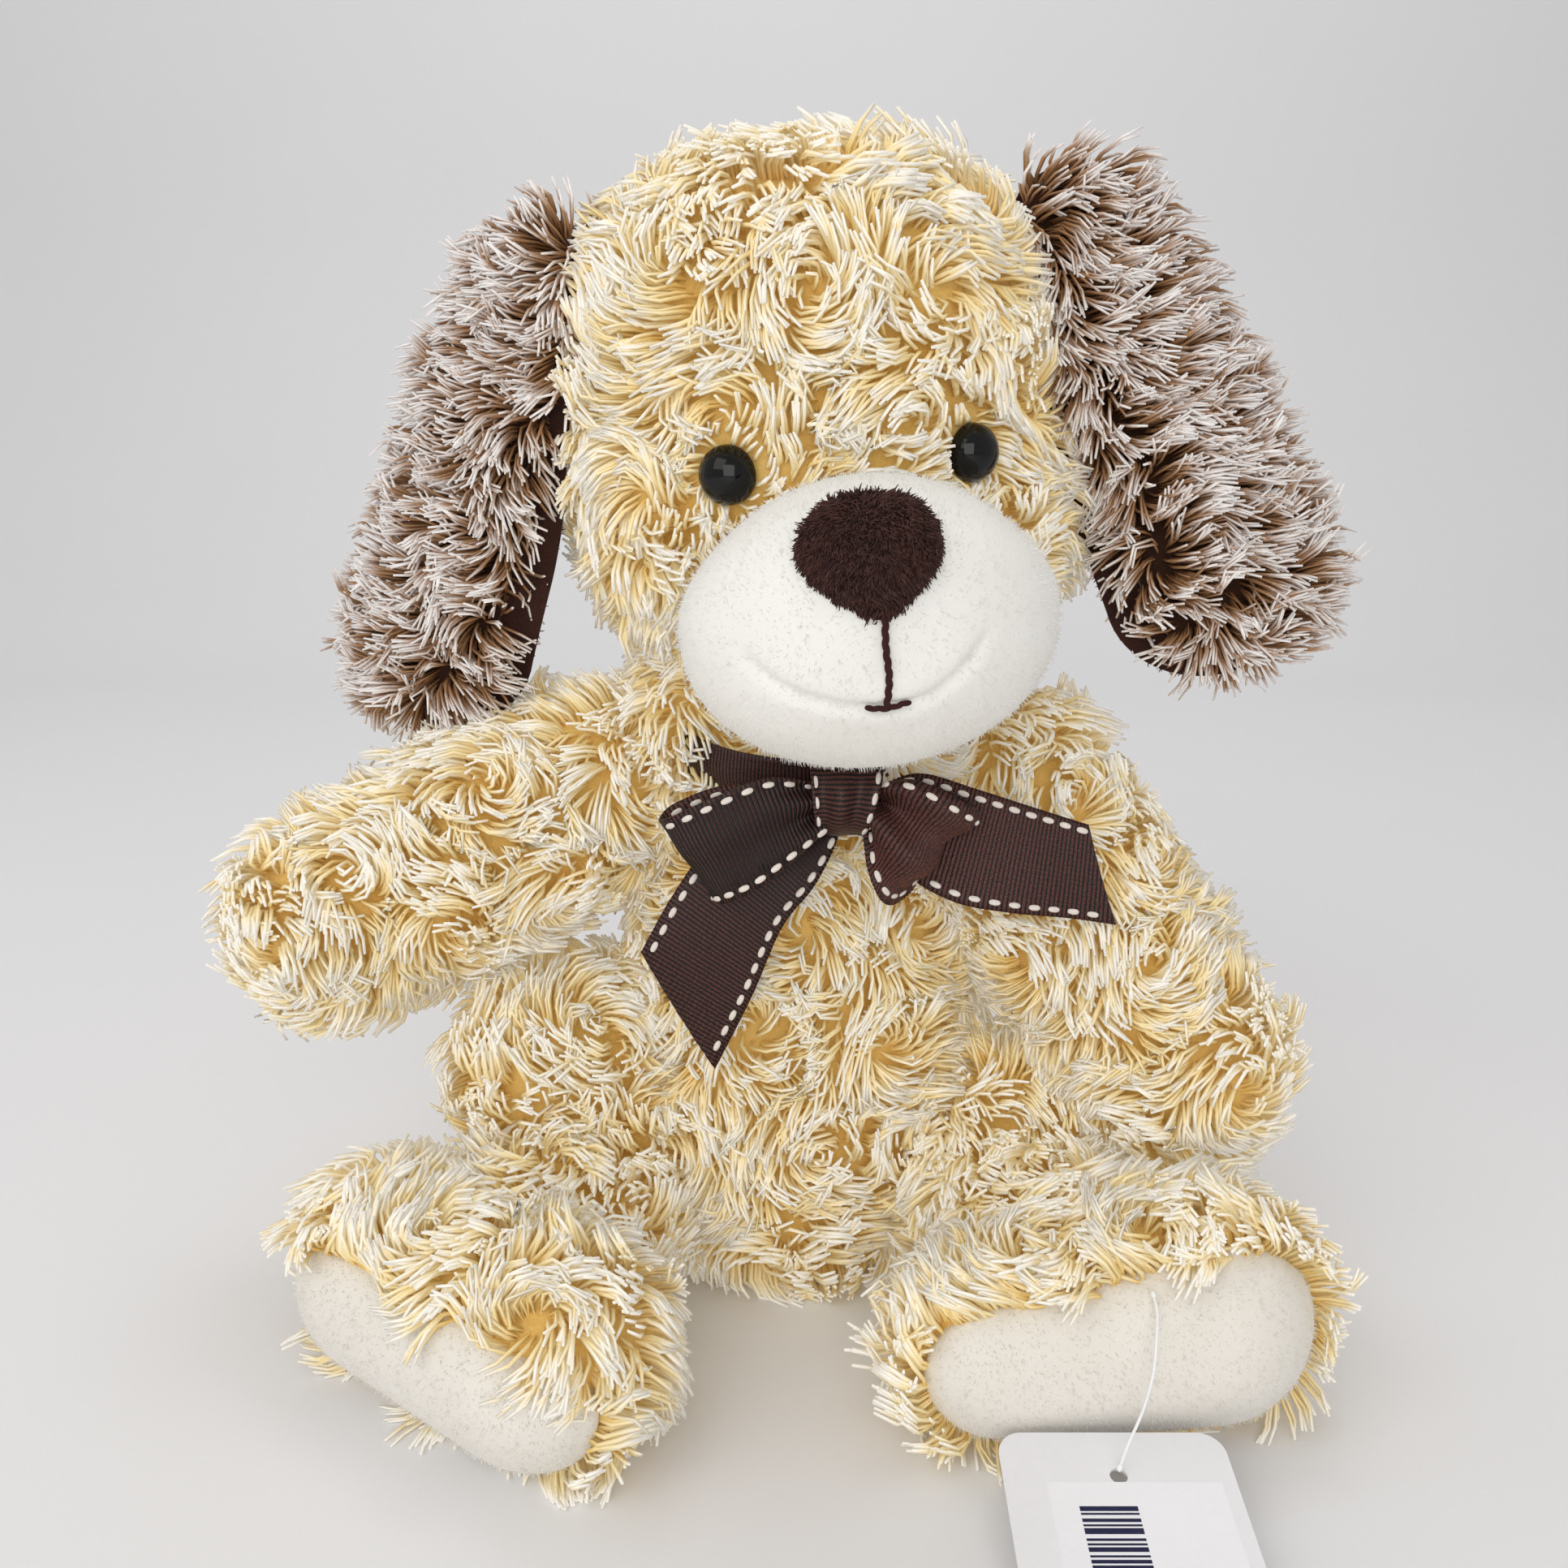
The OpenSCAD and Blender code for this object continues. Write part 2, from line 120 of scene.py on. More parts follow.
TORSO_POINTS = np.array([
    [27, 0], [36, 5], [42, 22], [43, 46], [39, 76], [34.5, 105], [30, 132], [26.5, 157],
], float)
TAG = Place((60, -116, 11.5), turn(10.6, 0, 0))
TAG_T = 0.6
FILAMENT_ROUTE = np.array([
    [69, -100, 40], [69, -103.5, 38], [68, -107.5, 34], [67, -110, 29],
    [65, -112, 23], [62, -114, 17], [60.3, -115.4, 13],
], float)


def ear_place(side):
    """Frame of an ear: X across it, -Y out of its fur face, and -Z down its length from the top."""
    v = EAR_TIP[side] - EAR_TOP[side]
    tilt = np.degrees(np.arcsin(v[1] / np.linalg.norm(v)))
    splay = -np.degrees(np.arctan2(side * abs(v[0]), -v[2]))
    return Place(EAR_TOP[side], turn(0, 0, EAR_YAW[side]) @ turn(tilt, splay, 0))


EAR = {s: ear_place(s) for s in SIDES}


def smooth_path(points, count):
    """Points at even steps of arc length on the Catmull-Rom curve through the given points."""
    p = np.vstack([2 * points[0] - points[1], points, 2 * points[-1] - points[-2]])
    u = np.linspace(0, 1, 12, endpoint=False)[None, :, None]
    p0, p1, p2, p3 = (p[k : len(p) - 3 + k, None] for k in range(4))
    dense = 0.5 * (2 * p1 + (p2 - p0) * u + (2 * p0 - 5 * p1 + 4 * p2 - p3) * u**2
                   + (3 * p1 - p0 - 3 * p2 + p3) * u**3)
    dense = np.vstack([dense.reshape(-1, points.shape[1]), points[-1:]])
    s = np.r_[0, np.cumsum(np.linalg.norm(np.diff(dense, axis=0), axis=1))]
    t = np.linspace(0, s[-1], count)
    return np.stack([np.interp(t, s, dense[:, k]) for k in range(points.shape[1])], 1)


TORSO_OUTLINE = smooth_path(TORSO_POINTS, 60)


def unit(v):
    """Vectors scaled to length 1."""
    return v / np.maximum(np.linalg.norm(v, axis=-1, keepdims=True), 1e-9)


def smoothstep(low, high, x):
    """Smooth rise from 0 at low to 1 at high."""
    t = np.clip((x - low) / (high - low), 0, 1)
    return t * t * (3 - 2 * t)


# ---- How deep a point lies inside a form: positive inside, in millimetres ----

def torso_depth(p):
    """The outline's radius at the point's height less its distance from the axis."""
    return np.interp(p[:, 2], TORSO_OUTLINE[:, 1], TORSO_OUTLINE[:, 0]) - np.hypot(p[:, 0], p[:, 1])


def cone_depth(p, a, b, r1, r2):
    """Depth in a round-ended cone from a to b: the radius at the nearest point of its axis less
    the distance.
    """
    ab = b - a
    t = np.clip((p - a) @ ab / (ab @ ab), 0, 1)
    return r1 + (r2 - r1) * t - np.linalg.norm(p - a - t[:, None] * ab, axis=1)


def head_depth(p):
    """One less the length in the oval's own radii, times its radius."""
    q = (HEAD.back(p) - HEAD_CENTRE) / [HEAD_R, HEAD_R, HEAD_HALF_H]
    return (1 - np.linalg.norm(q, axis=1)) * HEAD_R


def muzzle_depth(p):
    """One less the length in the oval's own radii, times its shortest radius."""
    q = (HEAD.back(p) - MUZZLE_CENTRE) / MUZZLE_RADII
    return (1 - np.linalg.norm(q, axis=1)) * MUZZLE_RADII[1]


def arm_depth(p, side):
    """Depth in the upper arm and forearm, one round-ended cone."""
    return cone_depth(p, UPPER_ARM[side], PAW[side], UPPER_ARM_R, PAW_R)


def shin_depth(p, side):
    """Depth in the cone from hip to foot."""
    return cone_depth(p, HIP[side], FOOT[side].at, HIP_R, ANKLE_R)


def thigh_depth(p, side):
    """Depth in the cone from hip to thigh."""
    return cone_depth(p, HIP[side], THIGH[side], HIP_R, THIGH_R[side])


def foot_depth(p, side):
    """Depth in the foot, a round-ended cone across its own frame."""
    a, b = np.array([-side * FOOT_HALF, 0, 0]), np.array([side * FOOT_HALF, 0, 0])
    return cone_depth(FOOT[side].back(p), a, b, FOOT_INNER_R[side], FOOT_OUTER_R[side])


# ---- Meshes ----

def make_piece(name, verts, faces, materials, smooth=True, slots=None, uv=None, attributes=None):
    """Writes vertices (mm) and faces of one size into a new mesh object at the origin."""
    verts, faces = np.asarray(verts, float), np.asarray(faces, np.int32)
    mesh = bpy.data.meshes.new(name)
    mesh.vertices.add(len(verts))
    mesh.vertices.foreach_set("co", (verts * MM).astype(np.float32).ravel())
    mesh.loops.add(faces.size)
    mesh.loops.foreach_set("vertex_index", faces.ravel())
    mesh.polygons.add(len(faces))
    side = faces.shape[1]
    mesh.polygons.foreach_set("loop_start", np.arange(len(faces), dtype=np.int32) * side)
    mesh.polygons.foreach_set("loop_total", np.full(len(faces), side, np.int32))
    mesh.polygons.foreach_set("use_smooth", np.full(len(faces), smooth, bool))
    for m in materials if isinstance(materials, (list, tuple)) else [materials]:
        mesh.materials.append(m)
    if slots is not None:
        mesh.polygons.foreach_set("material_index", np.asarray(slots, np.int32))
    mesh.update(calc_edges=True)
    if uv is not None:
        layer = mesh.uv_layers.new(name="Cloth")
        layer.data.foreach_set("uv", np.asarray(uv, np.float32)[faces.ravel()].ravel())
    for key, values in (attributes or {}).items():
        mesh.attributes.new(key, "FLOAT", "POINT").data.foreach_set("value", np.asarray(values, np.float32))
    mesh.validate()
    obj = bpy.data.objects.new(name, mesh)
    bpy.context.scene.collection.objects.link(obj)
    return obj


def grid_faces(rows, cols, close_cols=False, flip=False):
    """Quads of a grid of rows by cols points; close_cols joins the last column to the first."""
    r, c = np.meshgrid(np.arange(rows - 1), np.arange(cols if close_cols else cols - 1), indexing="ij")
    c2 = (c + 1) % cols
    quads = np.stack([r * cols + c, r * cols + c2, (r + 1) * cols + c2, (r + 1) * cols + c],
                     -1).reshape(-1, 4)
    return quads[:, ::-1] if flip else quads


def close_mesh(obj, distance=0.00002):
    """Merges the doubled points at poles and seams, drops faces with no area and points the rest
    outwards.
    """
    bm = bmesh.new()
    bm.from_mesh(obj.data)
    bmesh.ops.remove_doubles(bm, verts=bm.verts, dist=distance)
    bmesh.ops.dissolve_degenerate(bm, dist=distance / 4, edges=bm.edges)
    bmesh.ops.recalc_face_normals(bm, faces=bm.faces)
    bm.to_mesh(obj.data)
    bm.free()
    obj.data.update()
    return obj


def join_parts(parts):
    """Stacks several (vertices, faces) pairs into one pair."""
    offset, verts, faces = 0, [], []
    for v, f in parts:
        verts.append(v)
        faces.append(f + offset)
        offset += len(v)
    return np.vstack(verts), np.vstack(faces)


def round_cone(a, b, r1, r2, rows=60, cols=72, grow=0.0):
    """Surface of a round-ended cone: a half outline of two arcs joined by their tangent, turned
    about its axis.
    """
    axis = b - a
    length = np.linalg.norm(axis)
    axis = axis / length
    u = unit(np.cross(axis, [0.0, 0.0, 1.0] if abs(axis[2]) < 0.9 else [1.0, 0.0, 0.0]))
    v = np.cross(axis, u)
    t = np.arccos((r1 - r2) / length)
    r1, r2 = r1 + grow, r2 + grow
    first, last = np.linspace(np.pi, t, rows // 2), np.linspace(t, 0, rows // 2)
    radius = np.r_[r1 * np.sin(first), r2 * np.sin(last)]
    along = np.r_[r1 * np.cos(first), length + r2 * np.cos(last)]
    outline = smooth_even(radius, along, rows)
    angle = np.linspace(0, 2 * np.pi, cols, endpoint=False)
    ring = np.cos(angle)[:, None] * u + np.sin(angle)[:, None] * v
    verts = a + outline[:, 1, None, None] * axis + outline[:, 0, None, None] * ring[None]
    return verts.reshape(-1, 3), grid_faces(rows, cols, close_cols=True)


def smooth_even(radius, along, rows):
    """Spaces an outline's points evenly along it."""
    s = np.r_[0, np.cumsum(np.hypot(np.diff(radius), np.diff(along)))]
    t = np.linspace(0, s[-1], rows)
    return np.stack([np.interp(t, s, radius), np.interp(t, s, along)], 1)


def turned(outline, cols=96):
    """Surface of revolution about Z of an outline of (radius, height)."""
    angle = np.linspace(0, 2 * np.pi, cols, endpoint=False)
    x, y = outline[:, 0, None] * np.cos(angle), outline[:, 0, None] * np.sin(angle)
    z = np.repeat(outline[:, 1, None], cols, 1)
    return np.stack([x, y, z], -1).reshape(-1, 3), grid_faces(len(outline), cols, close_cols=True)


def head_surface(grow=0.0, rows=70):
    """The head's oval of revolution: an ellipse below, and a squarer oval of power 3 above."""
    a = np.radians(np.linspace(-90, 90, rows))
    power = 2 / np.where(a < 0, 2.0, 3.0)
    radius = (HEAD_R + grow) * np.cos(a).clip(0) ** power
    height = np.where(a < 0, -1, HEAD_CROWN) * (HEAD_HALF_H + grow) * np.abs(np.sin(a)) ** power
    verts, faces = turned(smooth_even(radius, height, rows))
    for side in SIDES:
        cheek = CHEEK[side] * np.exp(-(((verts[:, 2] + CHEEK_DROP) / CHEEK_SPAN) ** 2))
        verts[:, 0] += side * cheek * smoothstep(0.15, 0.9,
                                                 side * verts[:, 0] / np.hypot(verts[:, 0],
                                                                               verts[:,
                                                                                     1] + 1e-6).clip(1e-3))
    return HEAD.out(verts + HEAD_CENTRE), faces


def torso_surface(rows=70):
    """The torso's outline turned about Z, closed by its flat seat and by a low dome inside the neck."""
    top = np.array([[20, 161], [10, 163.5], [0, 164]], float)
    seat = np.array([[0, 0.4], [12, 0.4], [22, 0.4]], float)
    outline = np.vstack([seat, TORSO_OUTLINE + [0, 0.4], top])
    verts, faces = turned(smooth_even(outline[:, 0], outline[:, 1], rows))
    facing = -verts[:, 1] / np.hypot(verts[:, 0], verts[:, 1]).clip(1e-3)
    collar = NECK_SWELL * np.exp(-(((verts[:, 2] - 138) / 15) ** 2)) * smoothstep(0.97, 0.7, facing)
    verts[:, :2] *= 1 + (collar / np.hypot(verts[:, 0], verts[:, 1]).clip(10))[:, None]
    return verts, faces


def arm_surface(side):
    """The arm as one round-ended cone, from upper arm to paw."""
    return round_cone(UPPER_ARM[side], PAW[side], UPPER_ARM_R, PAW_R)


def leg_surface(side):
    """Thigh, shin and foot as three round-ended forms that run into each other, held off the floor."""
    thigh = round_cone(HIP[side], THIGH[side], HIP_R, THIGH_R[side], 40, 60)
    shin = round_cone(HIP[side], FOOT[side].at, HIP_R, ANKLE_R)
    a, b = np.array([-side * FOOT_HALF, 0, 0]), np.array([side * FOOT_HALF, 0, 0])
    foot = round_cone(a, b, FOOT_INNER_R[side], FOOT_OUTER_R[side])
    verts, faces = join_parts([thigh, shin, (FOOT[side].out(foot[0]), foot[1])])
    verts[:, 2] = np.maximum(verts[:, 2], FLOOR_CLEARANCE)
    return verts, faces


def scatter(verts, faces, count, rng, density=None):
    """Random points and outward normals on a quad surface, as many per area as density says."""
    tri = np.vstack([faces[:, :3], faces[:, [0, 2, 3]]])
    a, b, c = (verts[tri[:, k]] for k in range(3))
    normal = np.cross(b - a, c - a)
    chance = np.linalg.norm(normal, axis=1)
    if density is not None:
        chance = chance * density((a + b + c) / 3)
    pick = rng.choice(len(tri), count, p=chance / chance.sum())
    r1, r2 = np.sqrt(rng.random((count, 1))), rng.random((count, 1))
    return (1 - r1) * a[pick] + r1 * (1 - r2) * b[pick] + r1 * r2 * c[pick], unit(normal[pick])


def nearest(points, centres, block=4000):
    """Index of the nearest centre to each point."""
    return np.concatenate([
        np.argmin(((points[i : i + block, None] - centres[None]) ** 2).sum(-1), 1)
        for i in range(0, len(points), block)
    ])


# ---- Fur ----

class Swirls:
    """A field of directions over a surface: evenly spaced whorls, each spiralling out of its middle."""

    def __init__(self, roots, count, rng, spiral_deg=(45, 80)):
        c = roots[rng.choice(len(roots), count, replace=False)]
        for _ in range(4):
            near = nearest(roots, c)
            total = np.stack([np.bincount(near, roots[:, k], count) for k in range(3)], 1)
            c = np.where(np.bincount(near, minlength=count)[:, None] > 0,
                         total / np.maximum(np.bincount(near, minlength=count), 1)[:, None], c)
        self.c = c
        self.angle = np.radians(rng.uniform(*spiral_deg, count)) * rng.choice([-1, 1], count)
        self.reach = np.median(np.sort(np.linalg.norm(c[:, None] - c[None], axis=-1), 1)[:, 1]) * 0.33

    def at(self, p, n, block=4000):
        """Direction at each point: the whorls near it, weighted by how near they are."""
        out = []
        for i in range(0, len(p), block):
            q, m = p[i : i + block, None], n[i : i + block, None]
            d = q - self.c[None]
            dist = np.linalg.norm(d, axis=-1)
            w = np.exp(-((dist - dist.min(1, keepdims=True)) / self.reach) * 1.6)[..., None]
            radial = unit(d - (d * m).sum(-1, keepdims=True) * m)
            swirl = np.cross(m, radial)
            out.append((w * (np.cos(self.angle)[None, :, None] * radial
                             + np.sin(self.angle)[None, :, None] * swirl)).sum(1))
        return unit(np.vstack(out))


STEPS = np.array([0.0, 0.34, 0.68, 1.0])


def fur_paths(roots, normals, rng, length=13.0, swirls=20, lean_deg=(66, 34, 10), clump=0.4, lock=8,
              bias=None, guards=(), length_at=None, spiral_deg=(62, 90), jitter=0.22):
    """Each strand's centreline: it leaves its root steeply and lies over step by step along the
    swirls, and strands of one lock draw together.
    """
    count = len(roots)
    field = Swirls(roots, swirls, rng, spiral_deg)
    leaders = rng.choice(count, max(count // lock, 1), replace=False)
    leader_of = nearest(roots, roots[leaders])
    lock_turn = rng.normal(0, jitter, len(leaders))[leader_of] + rng.normal(0, jitter * 0.45, count)
    lock_lean = rng.normal(0, 9, len(leaders))[leader_of] + rng.normal(0, 6, count)
    lock_len = rng.normal(0, 0.1, len(leaders))[leader_of] + rng.normal(0, 0.08, count)
    bend = rng.normal(0, 0.22, len(leaders))[leader_of] + rng.normal(0, 0.08, count)
    size = length * np.clip(1 + lock_len, 0.6, 1.35)
    if length_at is not None:
        size = size * length_at(roots)
    p = roots - normals * 0.6
    path = [p]
    for k, lean in enumerate(lean_deg):
        d = field.at(p, normals)
        if bias is not None:
            push = bias(p)
            d = unit(d + push - (push * normals).sum(1, keepdims=True) * normals)
        angle = lock_turn + bend * k
        d = np.cos(angle)[:, None] * d + np.sin(angle)[:, None] * np.cross(normals, d)
        a = np.radians(np.clip(lean + lock_lean, -12, 85))[:, None]
        p = p + (size * (STEPS[k + 1] - STEPS[k]))[:, None] * (np.cos(a) * d + np.sin(a) * normals)
        path.append(p)
    path = np.stack(path, 1)
    leader_path = path[leaders][leader_of]
    pull = clump * np.array([0, 0.12, 0.5, 0.85])[None, :, None]
    spread = (roots - roots[leaders][leader_of])[:, None] * 0.35
    path = path + pull * (leader_path + spread - path)
    for guard in guards:
        path = guard(path)
    path[..., 2] = np.maximum(path[..., 2], FLOOR_CLEARANCE)
    lock_shade = 0.22 * rng.normal(size=len(leaders))[leader_of]
    shade = np.clip(0.5 + lock_shade + 0.16 * rng.normal(size=count), 0, 1)
    return path, shade


def strands(name, path, shade, normals, material, width=1.0, profile=(0.8, 1.0, 0.95, 0.7)):
    """Three-sided yarns along the paths, thickest past the root and cut blunt at the tip."""
    count, rings = path.shape[:2]
    tangent = unit(np.gradient(path, axis=1))
    side = unit(np.cross(tangent, normals[:, None] + 0 * tangent))
    up = np.cross(side, tangent)
    angle = np.arange(3) * 2 * np.pi / 3 + np.pi / 2
    radius = 0.5 * width * np.array(profile)[None, :, None, None]
    across = np.cos(angle)[None, None, :, None] * side[:, :, None]
    ring = across + np.sin(angle)[None, None, :, None] * up[:, :, None]
    verts = (path[:, :, None] + radius * ring).reshape(-1, 3)
    verts[:, 2] = np.maximum(verts[:, 2], 0.05)
    base = (np.arange(count) * rings * 3)[:, None, None]
    k, j = np.arange(rings - 1)[None, :, None] * 3, np.arange(3)[None, None, :]
    j2 = (j + 1) % 3
    quads = np.stack([base + k + j, base + k + j2, base + k + 3 + j2, base + k + 3 + j], -1).reshape(-1, 4)
    last = base[:, :, 0] + (rings - 1) * 3
    caps = np.concatenate([last, last + 1, last + 2, last + 2], 1)
    obj = make_strand_mesh(name, verts, quads, caps[:, :3], material)
    along = np.tile(np.repeat(np.linspace(0, 1, rings), 3), count)
    obj.data.attributes.new("along", "FLOAT", "POINT").data.foreach_set("value", along.astype(np.float32))
    obj.data.attributes.new("shade", "FLOAT", "POINT").data.foreach_set(
        "value", np.repeat(shade, rings * 3).astype(np.float32))
    return obj


def make_strand_mesh(name, verts, quads, tris, material):
    """A mesh of quads and triangles together."""
    mesh = bpy.data.meshes.new(name)
    mesh.vertices.add(len(verts))
    mesh.vertices.foreach_set("co", (verts * MM).astype(np.float32).ravel())
    loops = np.concatenate([quads.ravel(), tris.ravel()]).astype(np.int32)
    totals = np.concatenate([np.full(len(quads), 4), np.full(len(tris), 3)]).astype(np.int32)
    mesh.loops.add(len(loops))
    mesh.loops.foreach_set("vertex_index", loops)
    mesh.polygons.add(len(totals))
    mesh.polygons.foreach_set("loop_start", np.r_[0, np.cumsum(totals)[:-1]].astype(np.int32))
    mesh.polygons.foreach_set("loop_total", totals)
    mesh.polygons.foreach_set("use_smooth", np.ones(len(totals), bool))
    mesh.materials.append(material)
    mesh.update(calc_edges=True)
    obj = bpy.data.objects.new(name, mesh)
    bpy.context.scene.collection.objects.link(obj)
    return obj


# ---- Guards: they move strand points off what the fur must not cover or pierce ----

def off_ball(centre, radius):
    """Moves points inside a ball out to its surface."""
    def guard(path):
        d = path - centre
        dist = np.linalg.norm(d, axis=-1, keepdims=True)
        return np.where(dist < radius, centre + d / np.maximum(dist, 1e-6) * radius, path)
    return guard


def off_muzzle(gap):
    """Moves points inside the muzzle's oval, grown by the gap, out to its surface."""
    radii = MUZZLE_RADII + gap
    def guard(path):
        q = (HEAD.back(path.reshape(-1, 3)) - MUZZLE_CENTRE) / radii
        dist = np.linalg.norm(q, axis=1, keepdims=True)
        moved = HEAD.out(np.where(dist < 1, q / np.maximum(dist, 1e-6), q) * radii + MUZZLE_CENTRE)
        return moved.reshape(path.shape)
    return guard


def behind_sheets(samples, gap, reach=4.0):
    """Keeps points behind sheets of ribbon: a point in front of the nearest sample of a sheet goes
    back behind it.
    """
    def guard(path):
        p = path.reshape(-1, 3)
        low, high = samples.min(0) - reach, samples.max(0) + reach
        beside = ((p[:, [0, 2]] > low[[0, 2]]) & (p[:, [0, 2]] < high[[0, 2]])).all(1)
        near = np.flatnonzero(beside & (p[:, 1] < high[1] + gap))
        if len(near) == 0:
            return path
        q = p[near]
        found = np.concatenate([
            np.argmin(((q[i : i + 2000, None, [0, 2]] - samples[None][..., [0, 2]]) ** 2).sum(-1), 1)
            for i in range(0, len(q), 2000)
        ])
        s = samples[found]
        covered = (np.hypot(q[:, 0] - s[:, 0], q[:, 2] - s[:, 2]) < reach) & (q[:, 1] < s[:, 1] + gap)
        p = p.copy()
        p[near[covered], 1] = s[covered, 1] + gap
        return p.reshape(path.shape)
    return guard


def over_pad(p, side):
    """Nearest point of a foot's axis, the foot's radius there, and whether a point in the foot's
    frame faces its pad.
    """
    a, b = np.array([-side * FOOT_HALF, 0, 0]), np.array([side * FOOT_HALF, 0, 0])
    t = np.clip((p - a) @ (b - a) / (2 * FOOT_HALF) ** 2, 0, 1)
    radius = FOOT_INNER_R[side] + (FOOT_OUTER_R[side] - FOOT_INNER_R[side]) * t
    limit = PAD_TOP[side] * np.arccos(PAD_DEPTH / radius)
    return a + t[:, None] * (b - a), radius, (p[:, 1] < -PAD_DEPTH + 0.5) & (np.arctan2(p[:, 2],
                                                                                        -p[:, 1]) < limit)


def off_pad(side, gap):
    """Moves points over a foot's pad out of it, along the foot's own surface normal."""
    def guard(path):
        p = FOOT[side].back(path.reshape(-1, 3))
        foot, radius, facing = over_pad(p, side)
        radius = radius + gap
        d = p - foot
        dist = np.linalg.norm(d, axis=1)
        inside = (dist < radius) & facing
        p = np.where(inside[:, None], foot + d / np.maximum(dist, 1e-6)[:, None] * radius[:, None], p)
        return FOOT[side].out(p).reshape(path.shape)
    return guard


# ---- Materials ----

def srgb(r, g, b):
    """Linear colour from 8-bit display values."""
    c = np.array([r, g, b]) / 255
    return tuple(np.where(c <= 0.04045, c / 12.92, ((c + 0.055) / 1.055) ** 2.4)) + (1.0,)


def new_group(name, inputs, outputs):
    """A shader node group with named inputs (kind, default) and outputs (kind)."""
    group = bpy.data.node_groups.new(name, "ShaderNodeTree")
    for label, (kind, value) in inputs.items():
        socket = group.interface.new_socket(label, in_out="INPUT", socket_type=kind)
        socket.default_value = value
    for label, kind in outputs.items():
        group.interface.new_socket(label, in_out="OUTPUT", socket_type=kind)
    return group, group.nodes.new("NodeGroupInput"), group.nodes.new("NodeGroupOutput")


def node(tree, kind, inputs=(), **settings):
    """Adds a node, sets its properties, and feeds its inputs from values or sockets."""
    made = tree.nodes.new(kind)
    for key, value in settings.items():
        setattr(made, key, value)
    for key, value in dict(inputs).items():
        if isinstance(value, bpy.types.NodeSocket):
            tree.links.new(value, made.inputs[key])
        else:
            made.inputs[key].default_value = value
    return made


COLOUR, VALUE = "NodeSocketColor", "NodeSocketFloat"


def yarn_tone_group():
    """Colour of a dyed yarn from its root to its tip: each yarn's own shade slides the three
    colours along it, and fine noise mottles them.
    """
    group, start, end = new_group("Yarn tone", {
        "Root": (COLOUR, (0.5, 0.4, 0.2, 1)), "Middle": (COLOUR, (0.8, 0.7, 0.4, 1)),
        "Tip": (COLOUR, (0.9, 0.9, 0.8, 1)), "Slide": (VALUE, 0.5), "Mottle": (VALUE, 0.1),
    }, {"Color": COLOUR})
    along = node(group, "ShaderNodeAttribute", attribute_name="along").outputs["Fac"]
    shade = node(group, "ShaderNodeAttribute", attribute_name="shade").outputs["Fac"]
    centred = node(group, "ShaderNodeMath", {0: shade, 1: 0.5}, operation="SUBTRACT").outputs[0]
    slid = node(group, "ShaderNodeMath", {0: centred, 1: start.outputs["Slide"], 2: along},
                operation="MULTIPLY_ADD").outputs[0]
    coords = node(group, "ShaderNodeTexCoord").outputs["Object"]
    noise = node(group, "ShaderNodeTexNoise", {"Vector": coords, "Scale": 900.0, "Detail": 2.0}).outputs[0]
    spread = node(group, "ShaderNodeMath", {0: noise, 1: 0.5}, operation="SUBTRACT").outputs[0]
    place = node(group, "ShaderNodeMath", {0: spread, 1: start.outputs["Mottle"], 2: slid},
                 operation="MULTIPLY_ADD").outputs[0]
    low = node(group, "ShaderNodeMapRange", {0: place, 1: 0.0, 2: 0.5},
               interpolation_type="SMOOTHSTEP").outputs[0]
    high = node(group, "ShaderNodeMapRange", {0: place, 1: 0.45, 2: 1.0},
                interpolation_type="SMOOTHSTEP").outputs[0]
    first = mix_colour(group, low, start.outputs["Root"], start.outputs["Middle"])
    second = mix_colour(group, high, first, start.outputs["Tip"])
    group.links.new(second, end.inputs["Color"])
    return group


def mix_colour(tree, factor, a, b):
    """Mixes two colours, each a socket or a value."""
    mix = tree.nodes.new("ShaderNodeMix")
    mix.data_type = "RGBA"
    for index, value in ((0, factor), (6, a), (7, b)):
        if isinstance(value, bpy.types.NodeSocket):
            tree.links.new(value, mix.inputs[index])
        else:
            mix.inputs[index].default_value = value
    return mix.outputs[2]


def felt_group():
    """Mottled colour and a nap height of short-piled fabric, from two sizes of noise."""
    group, start, end = new_group("Felted nap", {
        "Color": (COLOUR, (0.9, 0.9, 0.9, 1)), "Shadow": (COLOUR, (0.7, 0.7, 0.7, 1)),
        "Patch Scale": (VALUE, 60.0), "Nap Scale": (VALUE, 1400.0), "Amount": (VALUE, 0.5),
    }, {"Color": COLOUR, "Height": VALUE})
    coords = node(group, "ShaderNodeTexCoord").outputs["Object"]
    patch = node(group, "ShaderNodeTexNoise", {
        "Vector": coords, "Scale": start.outputs["Patch Scale"], "Detail": 3.0}).outputs[0]
    nap = node(group, "ShaderNodeTexNoise", {
        "Vector": coords, "Scale": start.outputs["Nap Scale"], "Detail": 4.0, "Roughness": 0.7}).outputs[0]
    both = node(group, "ShaderNodeMath", {0: patch, 1: nap}, operation="ADD").outputs[0]
    dark = node(group, "ShaderNodeMapRange", {0: both, 1: 1.25, 2: 0.7}).outputs[0]
    mask = node(group, "ShaderNodeMath", {0: dark, 1: start.outputs["Amount"]},
                operation="MULTIPLY").outputs[0]
    group.links.new(mix_colour(group, mask, start.outputs["Color"], start.outputs["Shadow"]),
                    end.inputs["Color"])
    group.links.new(nap, end.inputs["Height"])
    return group


